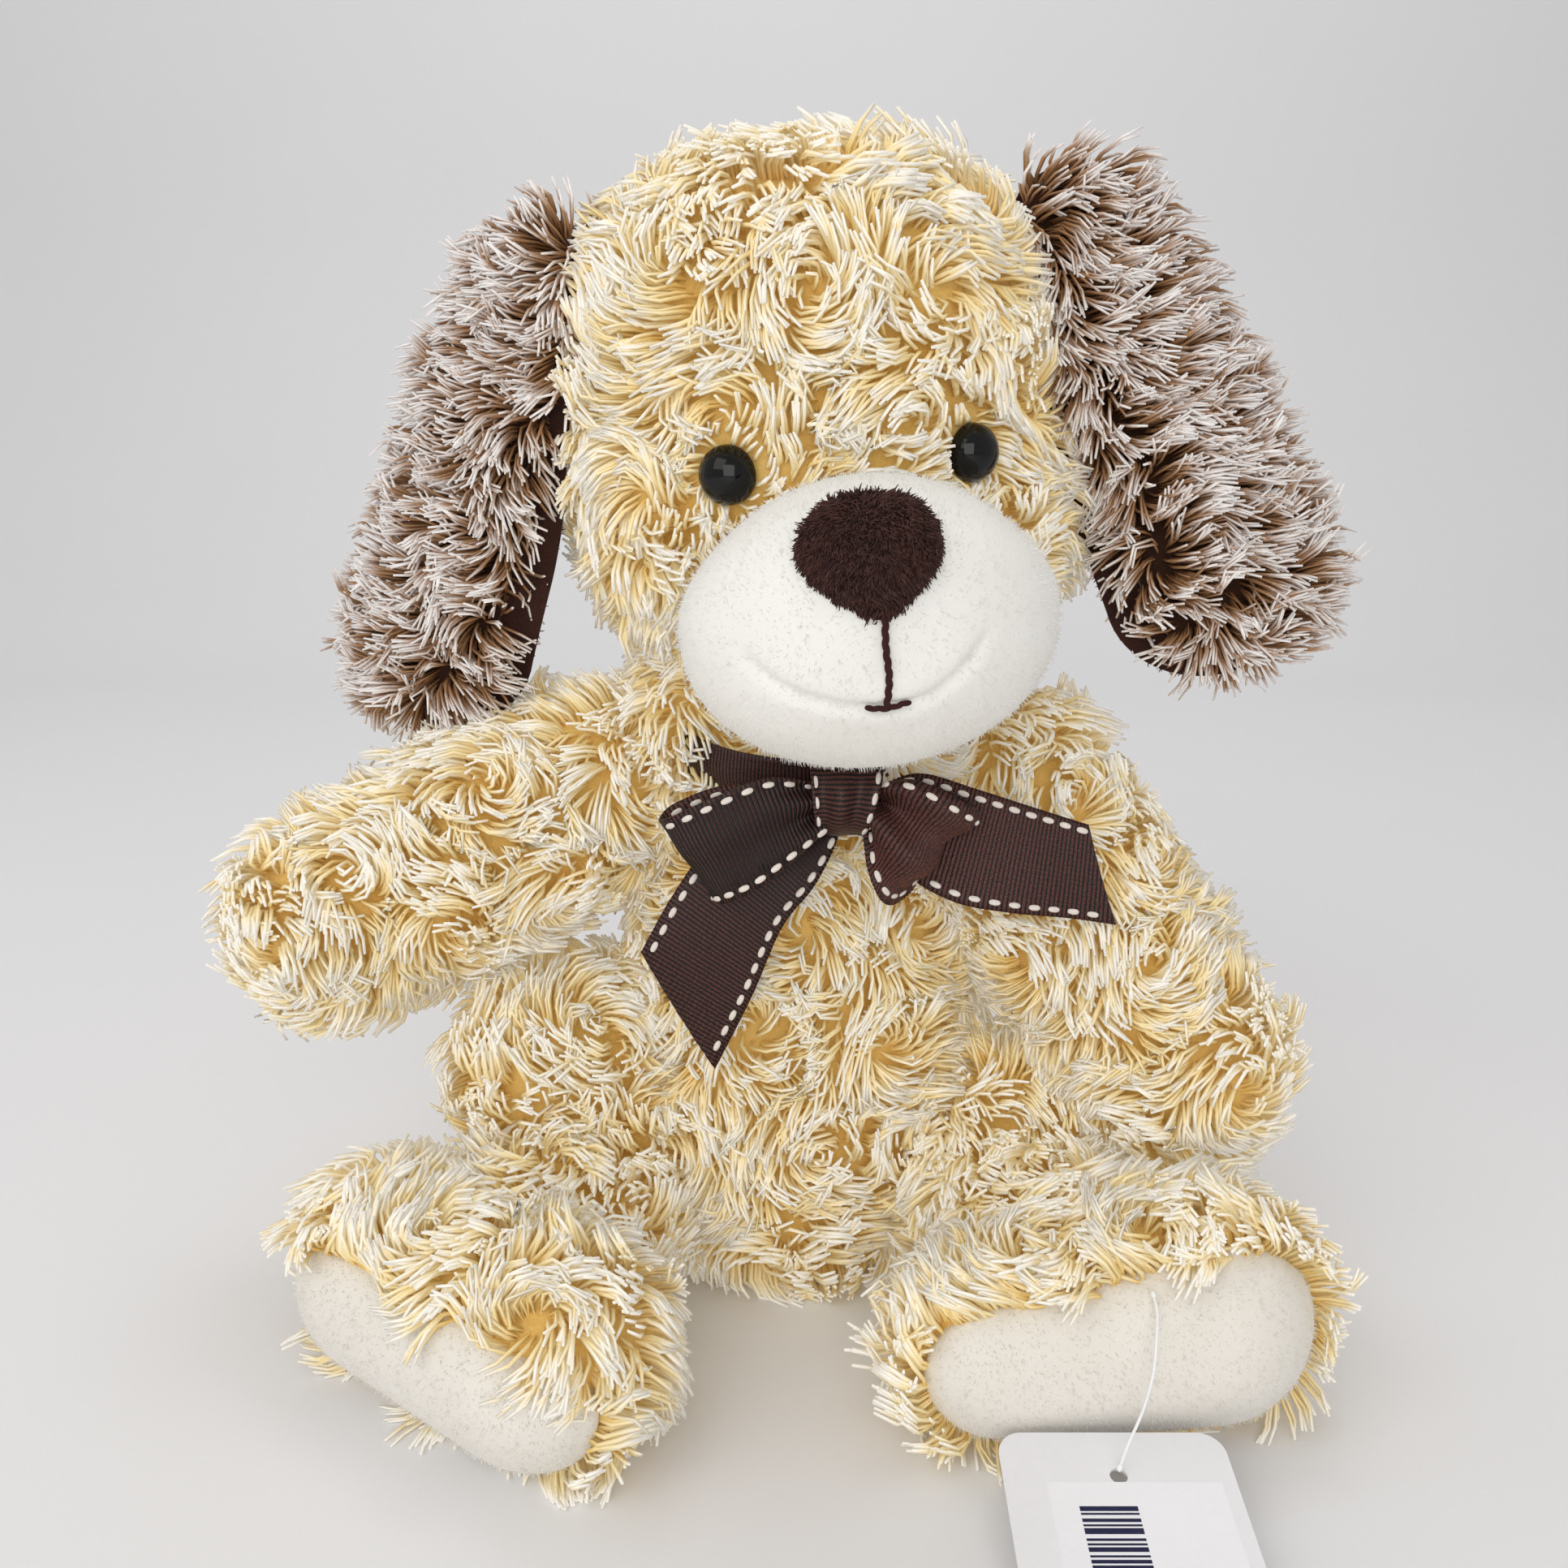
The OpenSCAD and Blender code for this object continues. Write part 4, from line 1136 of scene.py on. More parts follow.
class PLUSH_OT_ears(bpy.types.Operator):
    """Builds the ears: a furred outer, and a dark lining that shows along the inner edge"""
    bl_idname = "plush.ears"
    bl_label = "Ears"

    def execute(self, context):
        fur, mats = context.scene.plush_fur, materials()
        for side, label in SIDES.items():
            rng = np.random.default_rng(fur.seed + 200 + side)
            place, body = EAR[side], f"ear_{label}"
            outer, faces = ear_leaf(side, 2.4, 0.6)
            surface = (place.out(outer), faces)
            add_padded(f"ear_{label}_fabric", surface, body, mats["ear_backing"], 0.3, f"ear_{label}_outer")
            lining, lining_faces = ear_leaf(side, 0.4, 3.0, grow=2.0, inward=5.6)
            lining[:, 1] += 1.6
            add_padded(f"ear_{label}_lining_fleece", (place.out(lining), lining_faces), body,
                       mats["lining"], 0.3,
                       f"ear_{label}_lining")
            pile(f"ear_{label}_lining_pile", (place.out(lining), lining_faces), body, mats["nose_pile"],
                 HAIRS["lining"], rng,
                 1.3, 0.34, lean=(50, 25))

            def furred(p, place=place):
                q = place.back(p)
                return (q[:, 1] < 0.7 + 5.0 * (q[:, 0] / 20) ** 2).astype(float)

            def outward(p, place=place, side=side):
                q = place.back(p)
                d = np.stack([0.045 * q[:, 0] + side * 0.75, 0 * q[:, 0],
                              -0.55 + 0.25 * smoothstep(10, 70, -q[:, 2])], 1)
                return 2.2 * d @ place.rotation.T

            roots, normals = scatter(*surface, EAR_YARNS, rng, furred)
            path, shade = fur_paths(roots, normals, rng, fur.ear_length / MM, swirls=16,
                                    lean_deg=(66, 44, 22),
                                    clump=0.3, lock=7, bias=outward, spiral_deg=(30, 75),
                                    jitter=0.25)
            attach(strands(f"ear_{label}_fur", path, shade, normals, mats["ear_fur"],
                            fur.width / MM * 0.82), body)
        return {"FINISHED"}


# ---- Foot pads ----

def pad_surface(side, rows=70, cols=60):
    """Front of the foot's round-ended form, grown by the pad's fleece, from edge to edge of the
    sole, closed by a flat back.
    """
    a, b = -side * FOOT_HALF, side * FOOT_HALF
    r1, r2 = FOOT_INNER_R[side], FOOT_OUTER_R[side]
    t = np.arccos((r1 - r2) / (2 * FOOT_HALF))
    grow = 1.5
    first, last = np.linspace(np.pi, t, 40), np.linspace(t, 0, 40)
    radius = np.r_[(r1 + grow) * np.sin(first), (r2 + grow) * np.sin(last)]
    along = np.r_[(r1 + grow) * np.cos(first), 2 * FOOT_HALF + (r2 + grow) * np.cos(last)]
    keep = radius > PAD_DEPTH
    lowest, highest = along[keep][0], along[keep][-1]
    s = np.linspace(0, np.pi, rows)
    at = lowest + (highest - lowest) * (1 - np.cos(s)) / 2
    r = np.maximum(np.interp(at, along, radius), PAD_DEPTH)
    half = np.arccos(PAD_DEPTH / r)
    half[[0, -1]] = 0
    f = np.linspace(-1, 1, cols)[None]
    angle = half[:, None] * np.where(f > 0, PAD_TOP[side] * f, f)
    front = np.stack([np.sign(b) * at[:, None] + a + 0 * angle, -r[:, None] * np.cos(angle),
                      r[:, None] * np.sin(angle)], -1)
    edge = np.abs(f) ** 8
    front[..., 1] += edge * 1.2
    back = front.copy()
    back[..., 1] = -PAD_DEPTH + 1.2
    ring = np.concatenate([front, back[:, ::-1]], 1)
    verts = FOOT[side].out(ring.reshape(-1, 3))
    verts[:, 2] = np.maximum(verts[:, 2], 0.3)
    return verts, grid_faces(rows, 2 * cols, close_cols=True, flip=side == LEFT)


class PLUSH_OT_pads(bpy.types.Operator):
    """Builds the smooth fleece pads on the soles"""
    bl_idname = "plush.pads"
    bl_label = "Foot pads"

    def execute(self, context):
        fleece, mats = context.scene.plush_fleece, materials()
        rng = np.random.default_rng(context.scene.plush_fur.seed + 300)
        for side, label in SIDES.items():
            surface = pad_surface(side)
            body = f"leg_{label}"
            add_padded(f"foot_{label}_fleece", surface, body, mats["pad"], 0.9, f"foot_{label}_pad")
            place = FOOT[side]
            pile(f"foot_{label}_pile", surface, body, mats["pad_pile"], HAIRS["pad"], rng,
                 fleece.pile / MM * 0.55, 0.15, lean=(74, 50),
                 density=lambda p, place=place: (place.back(p)[:, 1] < -PAD_DEPTH).astype(float),
                 flow=lambda p: np.array([0.3, 0.2, -0.3]) + 0 * p)
        return {"FINISHED"}


# ---- Ribbon ----

# Each strip of ribbon: stations of its first edge and of its second edge, from the knot outwards.
LOOP_RIGHT = np.array([
    [[4, -55, 132.5], [5, -55.5, 122]], [[-7, -59.5, 134.5], [-1.5, -60, 117]],
    [[-19, -61.5, 130.5], [-8.5, -61.5, 111.5]],
    [[-27.5, -58.5, 126], [-15, -59, 107.5]], [[-30, -53.5, 124.5], [-17.5, -54, 105.5]],
    [[-27, -50, 127], [-12, -50.5, 107]], [[-15, -49.5, 131], [-4, -50, 114]],
    [[3, -51.5, 131], [5, -51.5, 122.5]],
], float)
LOOP_LEFT = np.array([
    [[18, -55, 132.5], [13.5, -55.5, 122]], [[24, -59, 134], [14, -60.5, 116]],
    [[31, -61, 131.5], [16, -62, 110.5]],
    [[36.5, -58, 128], [18.5, -60, 107]], [[38, -53.5, 126], [21.5, -54.5, 106]],
    [[35, -50.5, 128.5], [25, -51, 109]], [[27, -50, 131.5], [20.5, -50.5, 115]],
    [[18, -51.5, 131], [15, -51.5, 123.5]],
], float)
TAIL_STRIP_RIGHT = np.array([
    [[4, -50.5, 129], [9, -51, 124]], [[-9, -49.5, 124.5], [7.5, -51, 117.5]],
    [[-20, -49.5, 117], [3, -51.5, 108.5]],
    [[-28, -49.5, 106], [-4, -51.5, 99]], [[-35.5, -50, 92.5], [-11, -51, 82]],
    [[-46, -50, 73], [-21.5, -49, 60]],
], float)
TAIL_STRIP_LEFT = np.array([
    [[17, -50.5, 131], [14.5, -50.5, 124.5]], [[26, -49.5, 133.5], [22.5, -51.5, 112]],
    [[38.5, -49, 129.8], [33.5, -53, 105.5]],
    [[51, -48, 125.5], [46.5, -51.5, 102.5]], [[63.4, -47, 121.3], [60, -49, 100.5]],
    [[76, -46, 117], [77, -48, 97.5]],
], float)


TAIL_CUT = {RIGHT: (51.5, 67.5), LEFT: (50.5, 58.5)}


class Strip:
    """A strip of ribbon between two edge curves: u runs along it in millimetres, and v from 0 to 1
    across it.
    """

    def __init__(self, stations, pleats=0.0, pleat_count=3.0, pinch=12.0):
        count = 160
        self.first, self.second = smooth_path(stations[:, 0], count), smooth_path(stations[:, 1], count)
        middle = (self.first + self.second) / 2
        self.u = np.r_[0, np.cumsum(np.linalg.norm(np.diff(middle, axis=0), axis=1))]
        self.length, self.pleats, self.pleat_count, self.pinch = self.u[-1], pleats, pleat_count, pinch

    def flat_at(self, u, v):
        """Point between the two edges, without pleats."""
        a = np.stack([np.interp(u, self.u, self.first[:, k]) for k in range(3)], -1)
        b = np.stack([np.interp(u, self.u, self.second[:, k]) for k in range(3)], -1)
        return a + (b - a) * v[..., None]

    def normal(self, u, v):
        """The strip's unit normal."""
        e = 0.4
        du = self.flat_at(np.clip(u + e, 0, self.length),
                          v) - self.flat_at(np.clip(u - e, 0, self.length), v)
        dv = self.flat_at(u, v + 0.05) - self.flat_at(u, v - 0.05)
        return unit(np.cross(dv, du))

    def at(self, u, v, ribs=0.0):
        """Point of the strip: pleats run out from the knot and fade, and ribs cross it."""
        ends = np.exp(-u / self.pinch) + (np.exp(-(self.length - u) / self.pinch) if self.pleats < 0 else 0)
        wave = abs(self.pleats) * ends * np.cos(2 * np.pi * self.pleat_count * (v - 0.12))
        sway = 0.35 * np.sin(u / 9.0 + 3 * v)
        lift = wave + sway + ribs * np.cos(2 * np.pi * u / RIB_PITCH)
        return self.flat_at(u, v) + lift[..., None] * self.normal(u, v)


def strip_mesh(name, strip, cut, material, thickness, fine=5, across=22, ribs=0.15):
    """A ribbed sheet over a strip, ended at the slanted cut (its length at v 0 and at v 1), with
    Solidify for its thickness.
    """
    rows = int(max(cut) / RIB_PITCH * fine)
    s, v = np.meshgrid(np.linspace(0, 1, rows), np.linspace(0, 1, across), indexing="ij")
    end = cut[0] + (cut[1] - cut[0]) * v
    u = s * end
    selvedge = 1 - smoothstep(0.44, 0.48, np.abs(v - 0.5))
    verts = strip.at(u, v, ribs * selvedge + 0.02)
    edge_bump = 0.12 * (1 - selvedge) * np.cos(2 * np.pi * u / (RIB_PITCH * 0.8))
    verts = verts + edge_bump[..., None] * strip.normal(u, v)
    obj = make_piece(name, verts.reshape(-1, 3), grid_faces(rows, across), material,
                     uv=np.stack([u, v * RIBBON_W], -1).reshape(-1, 2))
    solid = obj.modifiers.new("Thickness", "SOLIDIFY")
    solid.thickness, solid.offset = thickness, 0.0
    return obj


def strip_stitches(strip, cut, thickness, width=RIBBON_W):
    """Saddle stitches in rows along both edges of a strip, on both of its faces."""
    parts = []
    for v_edge in (STITCH_INSET / width, 1 - STITCH_INSET / width):
        end = cut[0] + (cut[1] - cut[0]) * v_edge - 1.5
        u = np.arange(1.6, end, STITCH_PITCH)
        v = np.full(len(u), v_edge)
        p, n = strip.at(u, v), strip.normal(u, v)
        run = unit(strip.at(u + 0.5, v) - strip.at(u - 0.5, v))
        for face in (-1, 1):
            parts.append(beads(p + face * n * (thickness / 2 + STITCH_PROUD), run, face * n,
                               (STITCH_LEN, STITCH_W, STITCH_H)))
    return parts


def knot_strip(count=80, across=26):
    """The knot: ribbon wrapped over from top to bottom, gathered from 15 to 9 wide, with soft
    creases along it.
    """
    t = np.linspace(-115, 115, count)[:, None]
    a = np.radians(t)
    v = np.linspace(-0.5, 0.5, across)[None]
    width = 15.5 - 5.5 * smoothstep(-60, 90, t)
    crease = 1.0 * np.cos(2 * np.pi * 1.9 * (v + 0.07)) * np.cos(a * 0.8) ** 2 + 0.6 * np.cos(np.pi * v)
    r_y, r_z = 7.4 + crease, 8.6 + 0.4 * crease
    x = 9.8 - 1.2 * smoothstep(-60, 90, t) + v * width
    y = -51.5 - r_y * np.cos(a)
    z = 129.4 - r_z * np.sin(a)
    return np.stack([x, y, z], -1), t * np.pi / 180 * 8.2, v


class PLUSH_OT_ribbon(bpy.types.Operator):
    """Builds the neck band and the bow with its knot, loops, tails and stitches"""
    bl_idname = "plush.ribbon"
    bl_label = "Ribbon bow"

    def execute(self, context):
        s, mats = context.scene.plush_ribbon, materials()
        t = s.thickness / MM
        stitches = []
        strips = {
            "bow_loop_right": (Strip(LOOP_RIGHT, -1.7, 2.0, 11.0), None),
            "bow_loop_left": (Strip(LOOP_LEFT, -2.3, 2.0, 15.0), None),
            "bow_tail_right": (Strip(TAIL_STRIP_RIGHT, 0.8, 2.0, 8.0), TAIL_CUT[RIGHT]),
            "bow_tail_left": (Strip(TAIL_STRIP_LEFT, 0.8, 2.0, 8.0), TAIL_CUT[LEFT]),
        }
        for name, (strip, cut) in strips.items():
            cut = cut or (strip.length, strip.length)
            obj = strip_mesh(name + "_cloth", strip, cut, mats["ribbon"], s.thickness)
            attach(obj, "torso")
            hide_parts(name)
            stitches += strip_stitches(strip, cut, t)
        points, u, v = knot_strip()
        flat_uv = np.stack([u + 0 * v, v * RIBBON_W + 0 * u], -1).reshape(-1, 2)
        knot = make_piece("bow_knot_cloth", points.reshape(-1, 3), grid_faces(*points.shape[:2]),
                          mats["ribbon"], uv=flat_uv)
        solid = knot.modifiers.new("Thickness", "SOLIDIFY")
        solid.thickness, solid.offset = s.thickness, 0.0
        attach(knot, "torso")
        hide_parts("bow_knot")
        for column in (2, -3):
            p = points[:, column]
            step = np.r_[0, np.cumsum(np.linalg.norm(np.diff(p, axis=0), axis=1))]
            at = np.arange(3, step[-1] - 1, STITCH_PITCH)
            q = np.stack([np.interp(at, step, p[:, k]) for k in range(3)], 1)
            ahead = np.stack([np.interp(at + 0.6, step, p[:, k]) for k in range(3)], 1)
            run = unit(ahead - q)
            out = unit(q - [9.5, -51.5, 129.4])
            out = unit(out - (out * run).sum(1, keepdims=True) * run)
            stitches.append(beads(q + out * (t / 2 + STITCH_PROUD), run, out,
                                  (STITCH_LEN, STITCH_W, STITCH_H)))
        thread = make_piece("bow_stitches", *join_parts(stitches), mats["thread"])
        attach(thread, "torso")
        self.band(s, mats)
        return {"FINISHED"}

    def band(self, s, mats):
        """The ribbon round the neck: a closed band, folded narrow, that dips in front under the knot."""
        a = np.linspace(0, 2 * np.pi, 240)[:, None]
        v = np.linspace(-0.5, 0.5, 10)[None]
        r = BAND_R + 0.5 * np.cos(np.pi * 2 * v) + 0.3 * np.sin(5 * a)
        tilt = turn(15, 0, 0)
        p = np.stack([0.86 * r * np.sin(a), -r * np.cos(a), BAND_W * v + 0 * a], -1).reshape(-1, 3)
        p = p @ tilt.T + [0, -6, 139.5]
        uv = np.stack([a * BAND_R + 0 * v, 12.0 * v + 0 * a], -1).reshape(-1, 2)
        obj = make_piece("neck_band", p, grid_faces(240, 10), mats["ribbon"], uv=uv)
        close_mesh(obj)
        solid = obj.modifiers.new("Thickness", "SOLIDIFY")
        solid.thickness, solid.offset = s.thickness, 0.0
        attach(obj, "torso")
        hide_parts("neck_ribbon")


def ribbon_samples():
    """Points over the bow, close together, for keeping the fur behind it."""
    strips = [(LOOP_RIGHT[3:], None), (LOOP_LEFT[3:], None), (TAIL_STRIP_RIGHT, TAIL_CUT[RIGHT]),
              (TAIL_STRIP_LEFT, TAIL_CUT[LEFT])]
    points = []
    for stations, cut in strips:
        strip = Strip(stations)
        cut = cut or (strip.length, strip.length)
        s, v = np.meshgrid(np.linspace(0, 1, 36), np.linspace(0, 1, 16), indexing="ij")
        points.append(strip.flat_at(s * (cut[0] + (cut[1] - cut[0]) * v), v).reshape(-1, 3))
    return np.vstack(points)


# ---- Body fur ----

YARNS = {"head": 14200, "torso": 12600, "arm": 6200, "leg": 7500, "tail": 1200}


class PLUSH_OT_fur(bpy.types.Operator):
    """Grows the cream fur over the head, body, limbs and tail"""
    bl_idname = "plush.fur"
    bl_label = "Fur"

    def execute(self, context):
        s = context.scene.plush_fur
        self.length, self.width, self.material = s.length / MM, s.width / MM, materials()["fur"]
        self.bow = behind_sheets(ribbon_samples(), 1.0)
        self.head(s.seed)
        self.torso(s.seed + 10)
        for side in SIDES:
            self.arm(side, s.seed + 20 + side)
            self.leg(side, s.seed + 30 + side)
        self.tail(s.seed + 40)
        return {"FINISHED"}

    def grow(self, name, body, surface, count, rng, density=None, halves=1, split=0, **options):
        """Scatters and grows fur, in one piece or in two on either side of a plane, so that each
        stays light.
        """
        roots, normals = scatter(*surface, count, rng, density)
        path, shade = fur_paths(roots, normals, rng, self.length, **options)
        parts = [("", slice(None))] if halves == 1 else [
            ("_a", roots[:, split] >= np.median(roots[:, split])),
            ("_b", roots[:, split] < np.median(roots[:, split]))]
        for label, pick in parts:
            obj = strands(name + label, path[pick], shade[pick], normals[pick], self.material, self.width)
            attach(obj, body)

    def head(self, seed):
        """Fur of the head, which parts round the muzzle and shortens round the eyes."""
        rng = np.random.default_rng(seed)
        muzzle_at = HEAD.out(MUZZLE_CENTRE)
        eyes = [HEAD.out(np.array([0, 0, EYE_Z]) + turn(0, 0,
                                                        EYE_ANGLE * side) @ np.array([0, -HEAD_R - 3, 0]))
                for side in SIDES]

        def density(p):
            free = muzzle_depth(p) < 1.0
            for e in eyes:
                free &= np.linalg.norm(p - e, axis=1) > 5.4
            return free.astype(float)

        def bias(p):
            d = p - muzzle_at
            near = smoothstep(46, 32, np.linalg.norm(d, axis=-1))[:, None]
            push = unit(d) * near * 1.6 + np.array([0, 0, -0.15])
            for e in eyes:
                d = p - e
                push = push + unit(d) * smoothstep(13, 7, np.linalg.norm(d, axis=-1))[:, None] * 2.2
            return push

        def length_at(p):
            shorter = 1 - 0.35 * smoothstep(42, 33, np.linalg.norm(p - muzzle_at, axis=1))
            for e in eyes:
                shorter *= 1 - 0.45 * smoothstep(16, 8, np.linalg.norm(p - e, axis=1))
            return shorter

        guards = [off_muzzle(1.2)] + [off_ball(e, EYE_R + 0.5) for e in eyes]
        self.grow("head_fur", "head", head_surface(), YARNS["head"], rng, density, halves=2, swirls=44,
                  bias=bias,
                  guards=guards, length_at=length_at)

    def torso(self, seed):
        """Fur of the body, thin where the head, arms and legs cover it."""
        rng = np.random.default_rng(seed)

        def density(p):
            seat = smoothstep(0.8, 3.0, p[:, 2])
            under_head = 1 - 0.9 * smoothstep(0, 6, head_depth(p))
            hidden = np.ones(len(p))
            for side in SIDES:
                hidden *= 1 - 0.85 * smoothstep(2, 8, arm_depth(p, side))
                hidden *= 1 - 0.85 * smoothstep(2, 8, shin_depth(p, side))
            return seat * under_head * hidden + 1e-6

        def bias(p):
            return np.array([0, 0, -0.3]) + 0 * p

        self.grow("torso_fur", "torso", torso_surface(), YARNS["torso"], rng, density, halves=2,
                  split=1, swirls=44, bias=bias,
                  guards=[self.bow])

    def arm(self, side, seed):
        """Fur of an arm, which flows towards the paw."""
        rng = np.random.default_rng(seed)
        surface = arm_surface(side)
        along = unit(PAW[side] - SHOULDER[side])

        def density(p):
            return 1 - 0.9 * smoothstep(4, 10, torso_depth(p))

        self.grow(f"arm_{SIDES[side]}_fur", f"arm_{SIDES[side]}", surface, YARNS["arm"], rng, density,
                  swirls=18,
                  bias=lambda p: 0.35 * along + 0 * p, guards=[self.bow])

    def leg(self, side, seed):
        """Fur of a leg, which opens round the pad."""
        rng = np.random.default_rng(seed)
        surface = leg_surface(side)

        def density(p):
            q = FOOT[side].back(p)
            buried = (foot_depth(p, side) > 0.3) | (shin_depth(p, side) > 0.3) | (thigh_depth(p,
                                                                                              side) > 0.3)
            pad = over_pad(q, side)[2] & (foot_depth(p, side) > -1)
            inside = smoothstep(4, 10, torso_depth(p))
            rim = 1 + 0.9 * smoothstep(-1, -6, q[:, 1])
            return (~buried & ~pad) * (1 - 0.9 * inside) * smoothstep(0.4, 1.5, p[:, 2]) * rim + 1e-9

        def bias(p):
            q = FOOT[side].back(p)
            rim = smoothstep(2, -9, q[:, 1])[:, None]
            spread = q * [1, 0, 1]
            out = unit(spread) @ FOOT[side].rotation.T
            forward = np.array([0, -1.0, 0]) @ FOOT[side].rotation.T
            return rim * (0.9 * out + 0.25 * forward) + np.array([0, -0.15, -0.15])

        self.grow(f"leg_{SIDES[side]}_fur", f"leg_{SIDES[side]}", surface, YARNS["leg"], rng, density,
                  swirls=22, bias=bias,
                  guards=[off_pad(side, 2.6)])

    def tail(self, seed):
        """Fur of the tail, which flows to its tip."""
        rng = np.random.default_rng(seed)
        surface = round_cone(TAIL_ROOT, TAIL_TIP, TAIL_ROOT_R, TAIL_TIP_R, 30, 40)
        along = unit(TAIL_TIP - TAIL_ROOT)
        self.grow("tail_fur", "tail", surface, YARNS["tail"], rng, None, swirls=6,
                  bias=lambda p: 0.8 * along + 0 * p,
                  length_at=lambda p: 0.8 + 0 * p[:, 0])


# ---- Swing tag ----

def flat_box(place, x, z, size, height, lift):
    """Corners and faces of a thin plate on the tag's face: x across the card, z down it from the hole."""
    w, l = size
    u = np.array([[-w, -l], [w, -l], [w, l], [-w, l]]) / 2 + [x, z]
    low = np.column_stack([u[:, 0], -u[:, 1], np.full(4, lift)])
    high = low + [0, 0, height]
    verts = place.out(np.vstack([low, high]))
    faces = np.array([[0, 1, 2, 3], [7, 6, 5, 4], [0, 4, 5, 1], [1, 5, 6, 2], [2, 6, 7, 3], [3, 7, 4, 0]])
    return verts, faces


class PLUSH_OT_tag(bpy.types.Operator):
    """Finishes the swing tag: card, label, generic bars and the clear filament"""
    bl_idname = "plush.tag"
    bl_label = "Swing tag"

    def execute(self, context):
        s = context.scene.plush_tag
        card = felt_material("Coated card", s.card, srgb(226, 226, 232), 40, 700, 0.3, 0.05, 0.00005, 0.0)
        NODES["swing_tag"].data.materials.clear()
        NODES["swing_tag"].data.materials.append(card)
        label = felt_material("Paper label", srgb(246, 246, 250), srgb(232, 232, 240), 50, 900, 0.3,
                              0.05, 0.00005, 0.0)
        ink = felt_material("Printed ink", s.ink, srgb(58, 60, 88), 300, 2000, 0.6, 0.05, 0.00005, 0.0)
        lift = TAG_T / 2
        plate = close_mesh(make_piece("tag_label", *flat_box(TAG, 2.6, 23.5, (33.0, 44.0), 0.12, lift),
                                      label, smooth=False))
        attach(plate, "tag")
        widths = np.array([1.0, 0.4, 0.7, 0.4, 1.2, 0.5, 0.4, 0.9, 0.4, 0.7, 1.1, 0.4, 0.5, 1.0, 0.4, 0.6])
        gaps = np.array([0.5, 0.4, 0.8, 0.5, 0.4, 0.9, 0.5, 0.4, 0.7, 0.5, 0.4, 0.8, 0.4, 0.6, 0.5, 0.5])
        down = 6.3 + np.cumsum(widths + gaps) - widths / 2
        bars = join_parts([flat_box(TAG, -3.4, z, (10.8, w), 0.05, lift + 0.12) for z,
                           w in zip(down, widths)])
        obj = close_mesh(make_piece("tag_bars", *bars, ink, smooth=False))
        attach(obj, "tag")
        self.filament()
        return {"FINISHED"}

    def filament(self):
        """A thin clear tube along the filament's route, with a small knob at each end."""
        mat, tree, shader = new_material("Clear filament", Roughness=0.12, IOR=1.5)
        coords = node(tree, "ShaderNodeTexCoord").outputs["Object"]
        noise = node(tree, "ShaderNodeTexNoise", {"Vector": coords, "Scale": 600.0}).outputs[0]
        tree.links.new(mix_colour(tree, noise, srgb(236, 238, 240), srgb(250, 250, 250)),
                       shader.inputs["Base Color"])
        path = smooth_path(FILAMENT_ROUTE, 60)
        tangent = unit(np.gradient(path, axis=0))
        side = unit(np.cross(tangent, [1.0, 0, 0]))
        up = np.cross(side, tangent)
        f = np.linspace(0, 2 * np.pi, 10, endpoint=False)
        ring = np.cos(f)[None, :, None] * side[:, None] + np.sin(f)[None, :, None] * up[:, None]
        verts = (path[:, None] + 0.3 * ring).reshape(-1, 3)
        obj = make_piece("tag_filament", verts, grid_faces(60, 10, close_cols=True), mat)
        knob, faces = beads(path[[0, -1]], tangent[[0, -1]], up[[0, -1]], (1.6, 1.2, 1.2))
        ends = close_mesh(make_piece("tag_filament_knobs", knob, faces, mat))
        for o in (obj, ends):
            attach(o, "leg_left")
        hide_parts("tag_loop")


# ---- Stage ----

CAMERA_AT = (-0.0035, -0.348, 0.200)
SENSOR_W, NEAR_CLIP, FAR_CLIP = 36.0, 0.01, 20


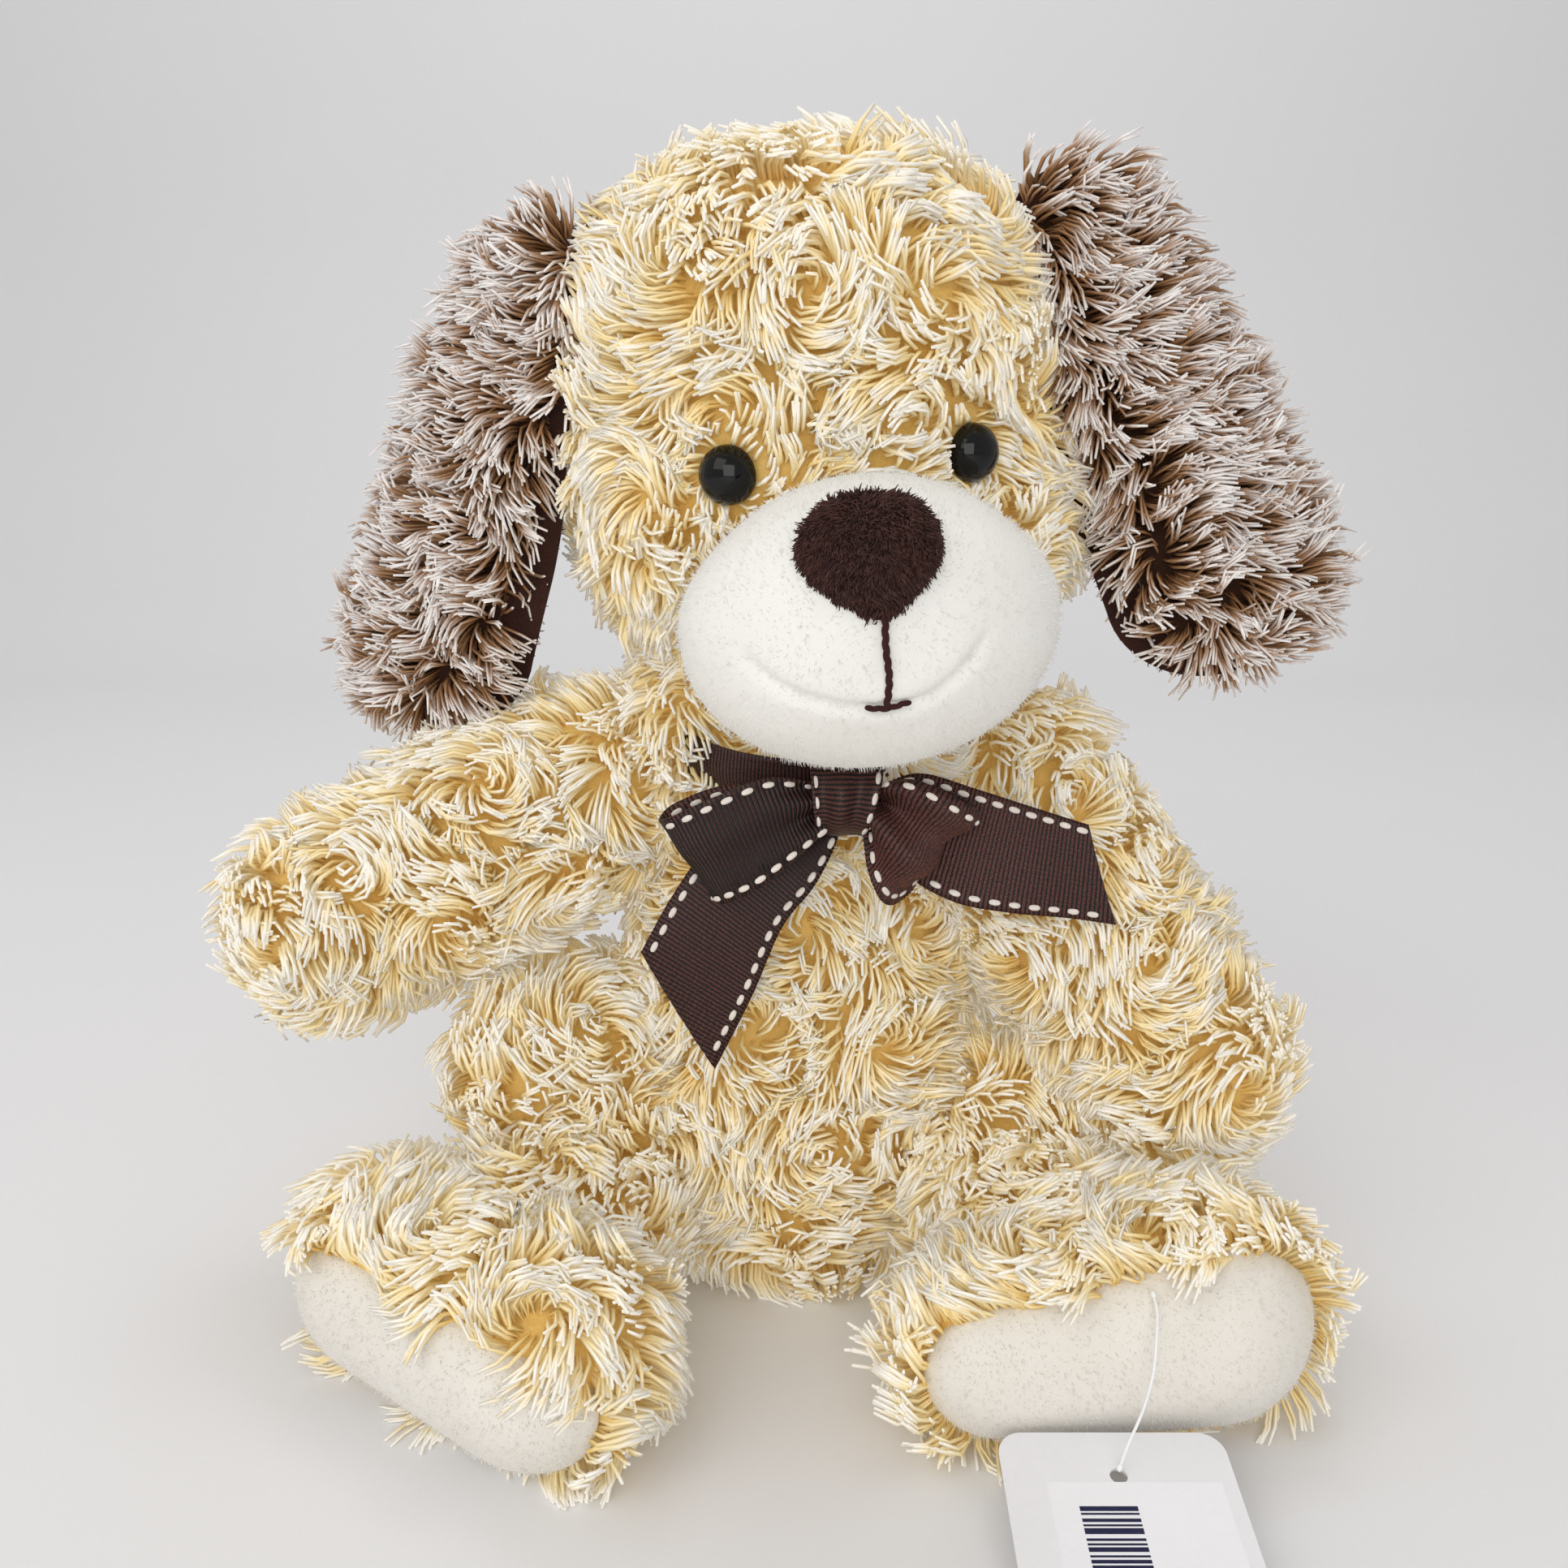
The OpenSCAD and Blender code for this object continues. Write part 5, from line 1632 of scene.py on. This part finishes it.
class PLUSH_OT_stage(bpy.types.Operator):
    """Sets the pale floor and backdrop, the soft lights and the camera"""
    bl_idname = "plush.stage"
    bl_label = "Stage"

    def execute(self, context):
        s, scene = context.scene.plush_stage, context.scene
        self.backdrop(s)
        self.camera(s, scene)
        self.lights(scene)
        return {"FINISHED"}

    def backdrop(self, s):
        """A sweep: flat floor, a quarter bend behind, then a wall."""
        t = np.radians(np.linspace(0, 90, 24))
        bend = np.stack([900 + 500 * np.sin(t), 500 - 500 * np.cos(t)], 1)
        line = np.vstack([[-2500, 0], [-800, 0], [0, 0], bend, [1400, 3000]])
        x = np.linspace(-3000, 3000, 9)
        verts = np.stack([x[None] + 0 * line[:, :1], line[:, :1] + 0 * x[None],
                          line[:, 1:] + 0 * x[None]], -1)
        mat, tree, shader = new_material("Pale sweep", Roughness=0.9)
        coords = node(tree, "ShaderNodeTexCoord").outputs["Object"]
        noise = node(tree, "ShaderNodeTexNoise", {"Vector": coords, "Scale": 6.0, "Detail": 2.0}).outputs[0]
        tree.links.new(mix_colour(tree, noise, s.floor, srgb(239, 239, 241)), shader.inputs["Base Color"])
        obj = make_piece("floor", verts.reshape(-1, 3), grid_faces(len(line), 9), mat)

    def camera(self, s, scene):
        """The camera, looking down at the dog from in front."""
        camera = bpy.data.objects.new("Camera", bpy.data.cameras.new("Camera"))
        scene.collection.objects.link(camera)
        camera.location = CAMERA_AT
        camera.rotation_euler = (np.pi / 2 - s.pitch, 0, 0)
        camera.data.sensor_width, camera.data.lens = SENSOR_W, s.focal
        camera.data.clip_start, camera.data.clip_end = NEAR_CLIP, FAR_CLIP
        scene.camera = camera

    def lights(self, scene):
        """Soft room light and four area lights."""
        world = bpy.data.worlds.new("Soft room")
        scene.world = world
        world.use_nodes = True
        world.node_tree.nodes["Background"].inputs["Color"].default_value = (1.0, 0.985, 0.965, 1)
        world.node_tree.nodes["Background"].inputs["Strength"].default_value = 0.5
        for name, at, aim, size, power, colour in (
            ("Window", (-0.75, -0.85, 0.95), (0.0, -0.05, 0.12), 0.9, 3.4, (1.0, 0.99, 0.97)),
            ("Front", (-0.05, -1.0, 0.42), (0.0, -0.05, 0.14), 0.7, 3.5, (1.0, 0.985, 0.96)),
            ("Top", (0.0, 0.15, 1.25), (0.0, -0.02, 0.1), 0.9, 1.6, (1.0, 0.99, 0.97)),
            ("Backdrop", (0.0, 0.55, 1.7), (0.0, 1.4, 0.7), 0.9, 4.6, (1.0, 1.0, 1.0)),
        ):
            light = bpy.data.lights.new(name, "AREA")
            light.size, light.energy, light.color = size, power, colour
            obj = bpy.data.objects.new(name, light)
            scene.collection.objects.link(obj)
            obj.location = at
            direction = np.array(aim) - np.array(at)
            obj.rotation_euler = Vector(direction).to_track_quat("-Z", "Y").to_euler()
        scene.view_settings.view_transform = "Standard"
        scene.view_settings.look = "None"


# ---- Panel and registration ----

SETTINGS = {
    "plush_fur": PlushFurSettings, "plush_fleece": PlushFleeceSettings, "plush_ribbon": PlushRibbonSettings,
    "plush_tag": PlushTagSettings, "plush_stage": PlushStageSettings,
}
OPERATORS = (PLUSH_OT_stage, PLUSH_OT_tag, PLUSH_OT_bodies, PLUSH_OT_face, PLUSH_OT_ears, PLUSH_OT_pads,
             PLUSH_OT_ribbon, PLUSH_OT_fur)


class PLUSH_PT_panel(bpy.types.Panel):
    """Lists the dog's settings and the operators that build it"""
    bl_label = "Plush Dog"
    bl_idname = "PLUSH_PT_panel"
    bl_space_type = "VIEW_3D"
    bl_region_type = "UI"
    bl_category = "Plush Dog"

    def draw(self, context):
        for name, group in SETTINGS.items():
            box = self.layout.box()
            for prop in group.__annotations__:
                box.prop(getattr(context.scene, name), prop)
        for operator in OPERATORS:
            self.layout.operator(operator.bl_idname)


def register():
    for cls in (*SETTINGS.values(), *OPERATORS, PLUSH_PT_panel):
        bpy.utils.register_class(cls)
    for name, group in SETTINGS.items():
        setattr(bpy.types.Scene, name, bpy.props.PointerProperty(type=group))


def unregister():
    for name in SETTINGS:
        delattr(bpy.types.Scene, name)
    for cls in reversed((*SETTINGS.values(), *OPERATORS, PLUSH_PT_panel)):
        bpy.utils.unregister_class(cls)


def main():
    """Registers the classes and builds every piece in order."""
    register()
    bpy.ops.plush.stage()
    bpy.ops.plush.tag()
    bpy.ops.plush.bodies()
    bpy.ops.plush.face()
    bpy.ops.plush.ears()
    bpy.ops.plush.pads()
    bpy.ops.plush.ribbon()
    bpy.ops.plush.fur()


if __name__ == "__main__":
    main()
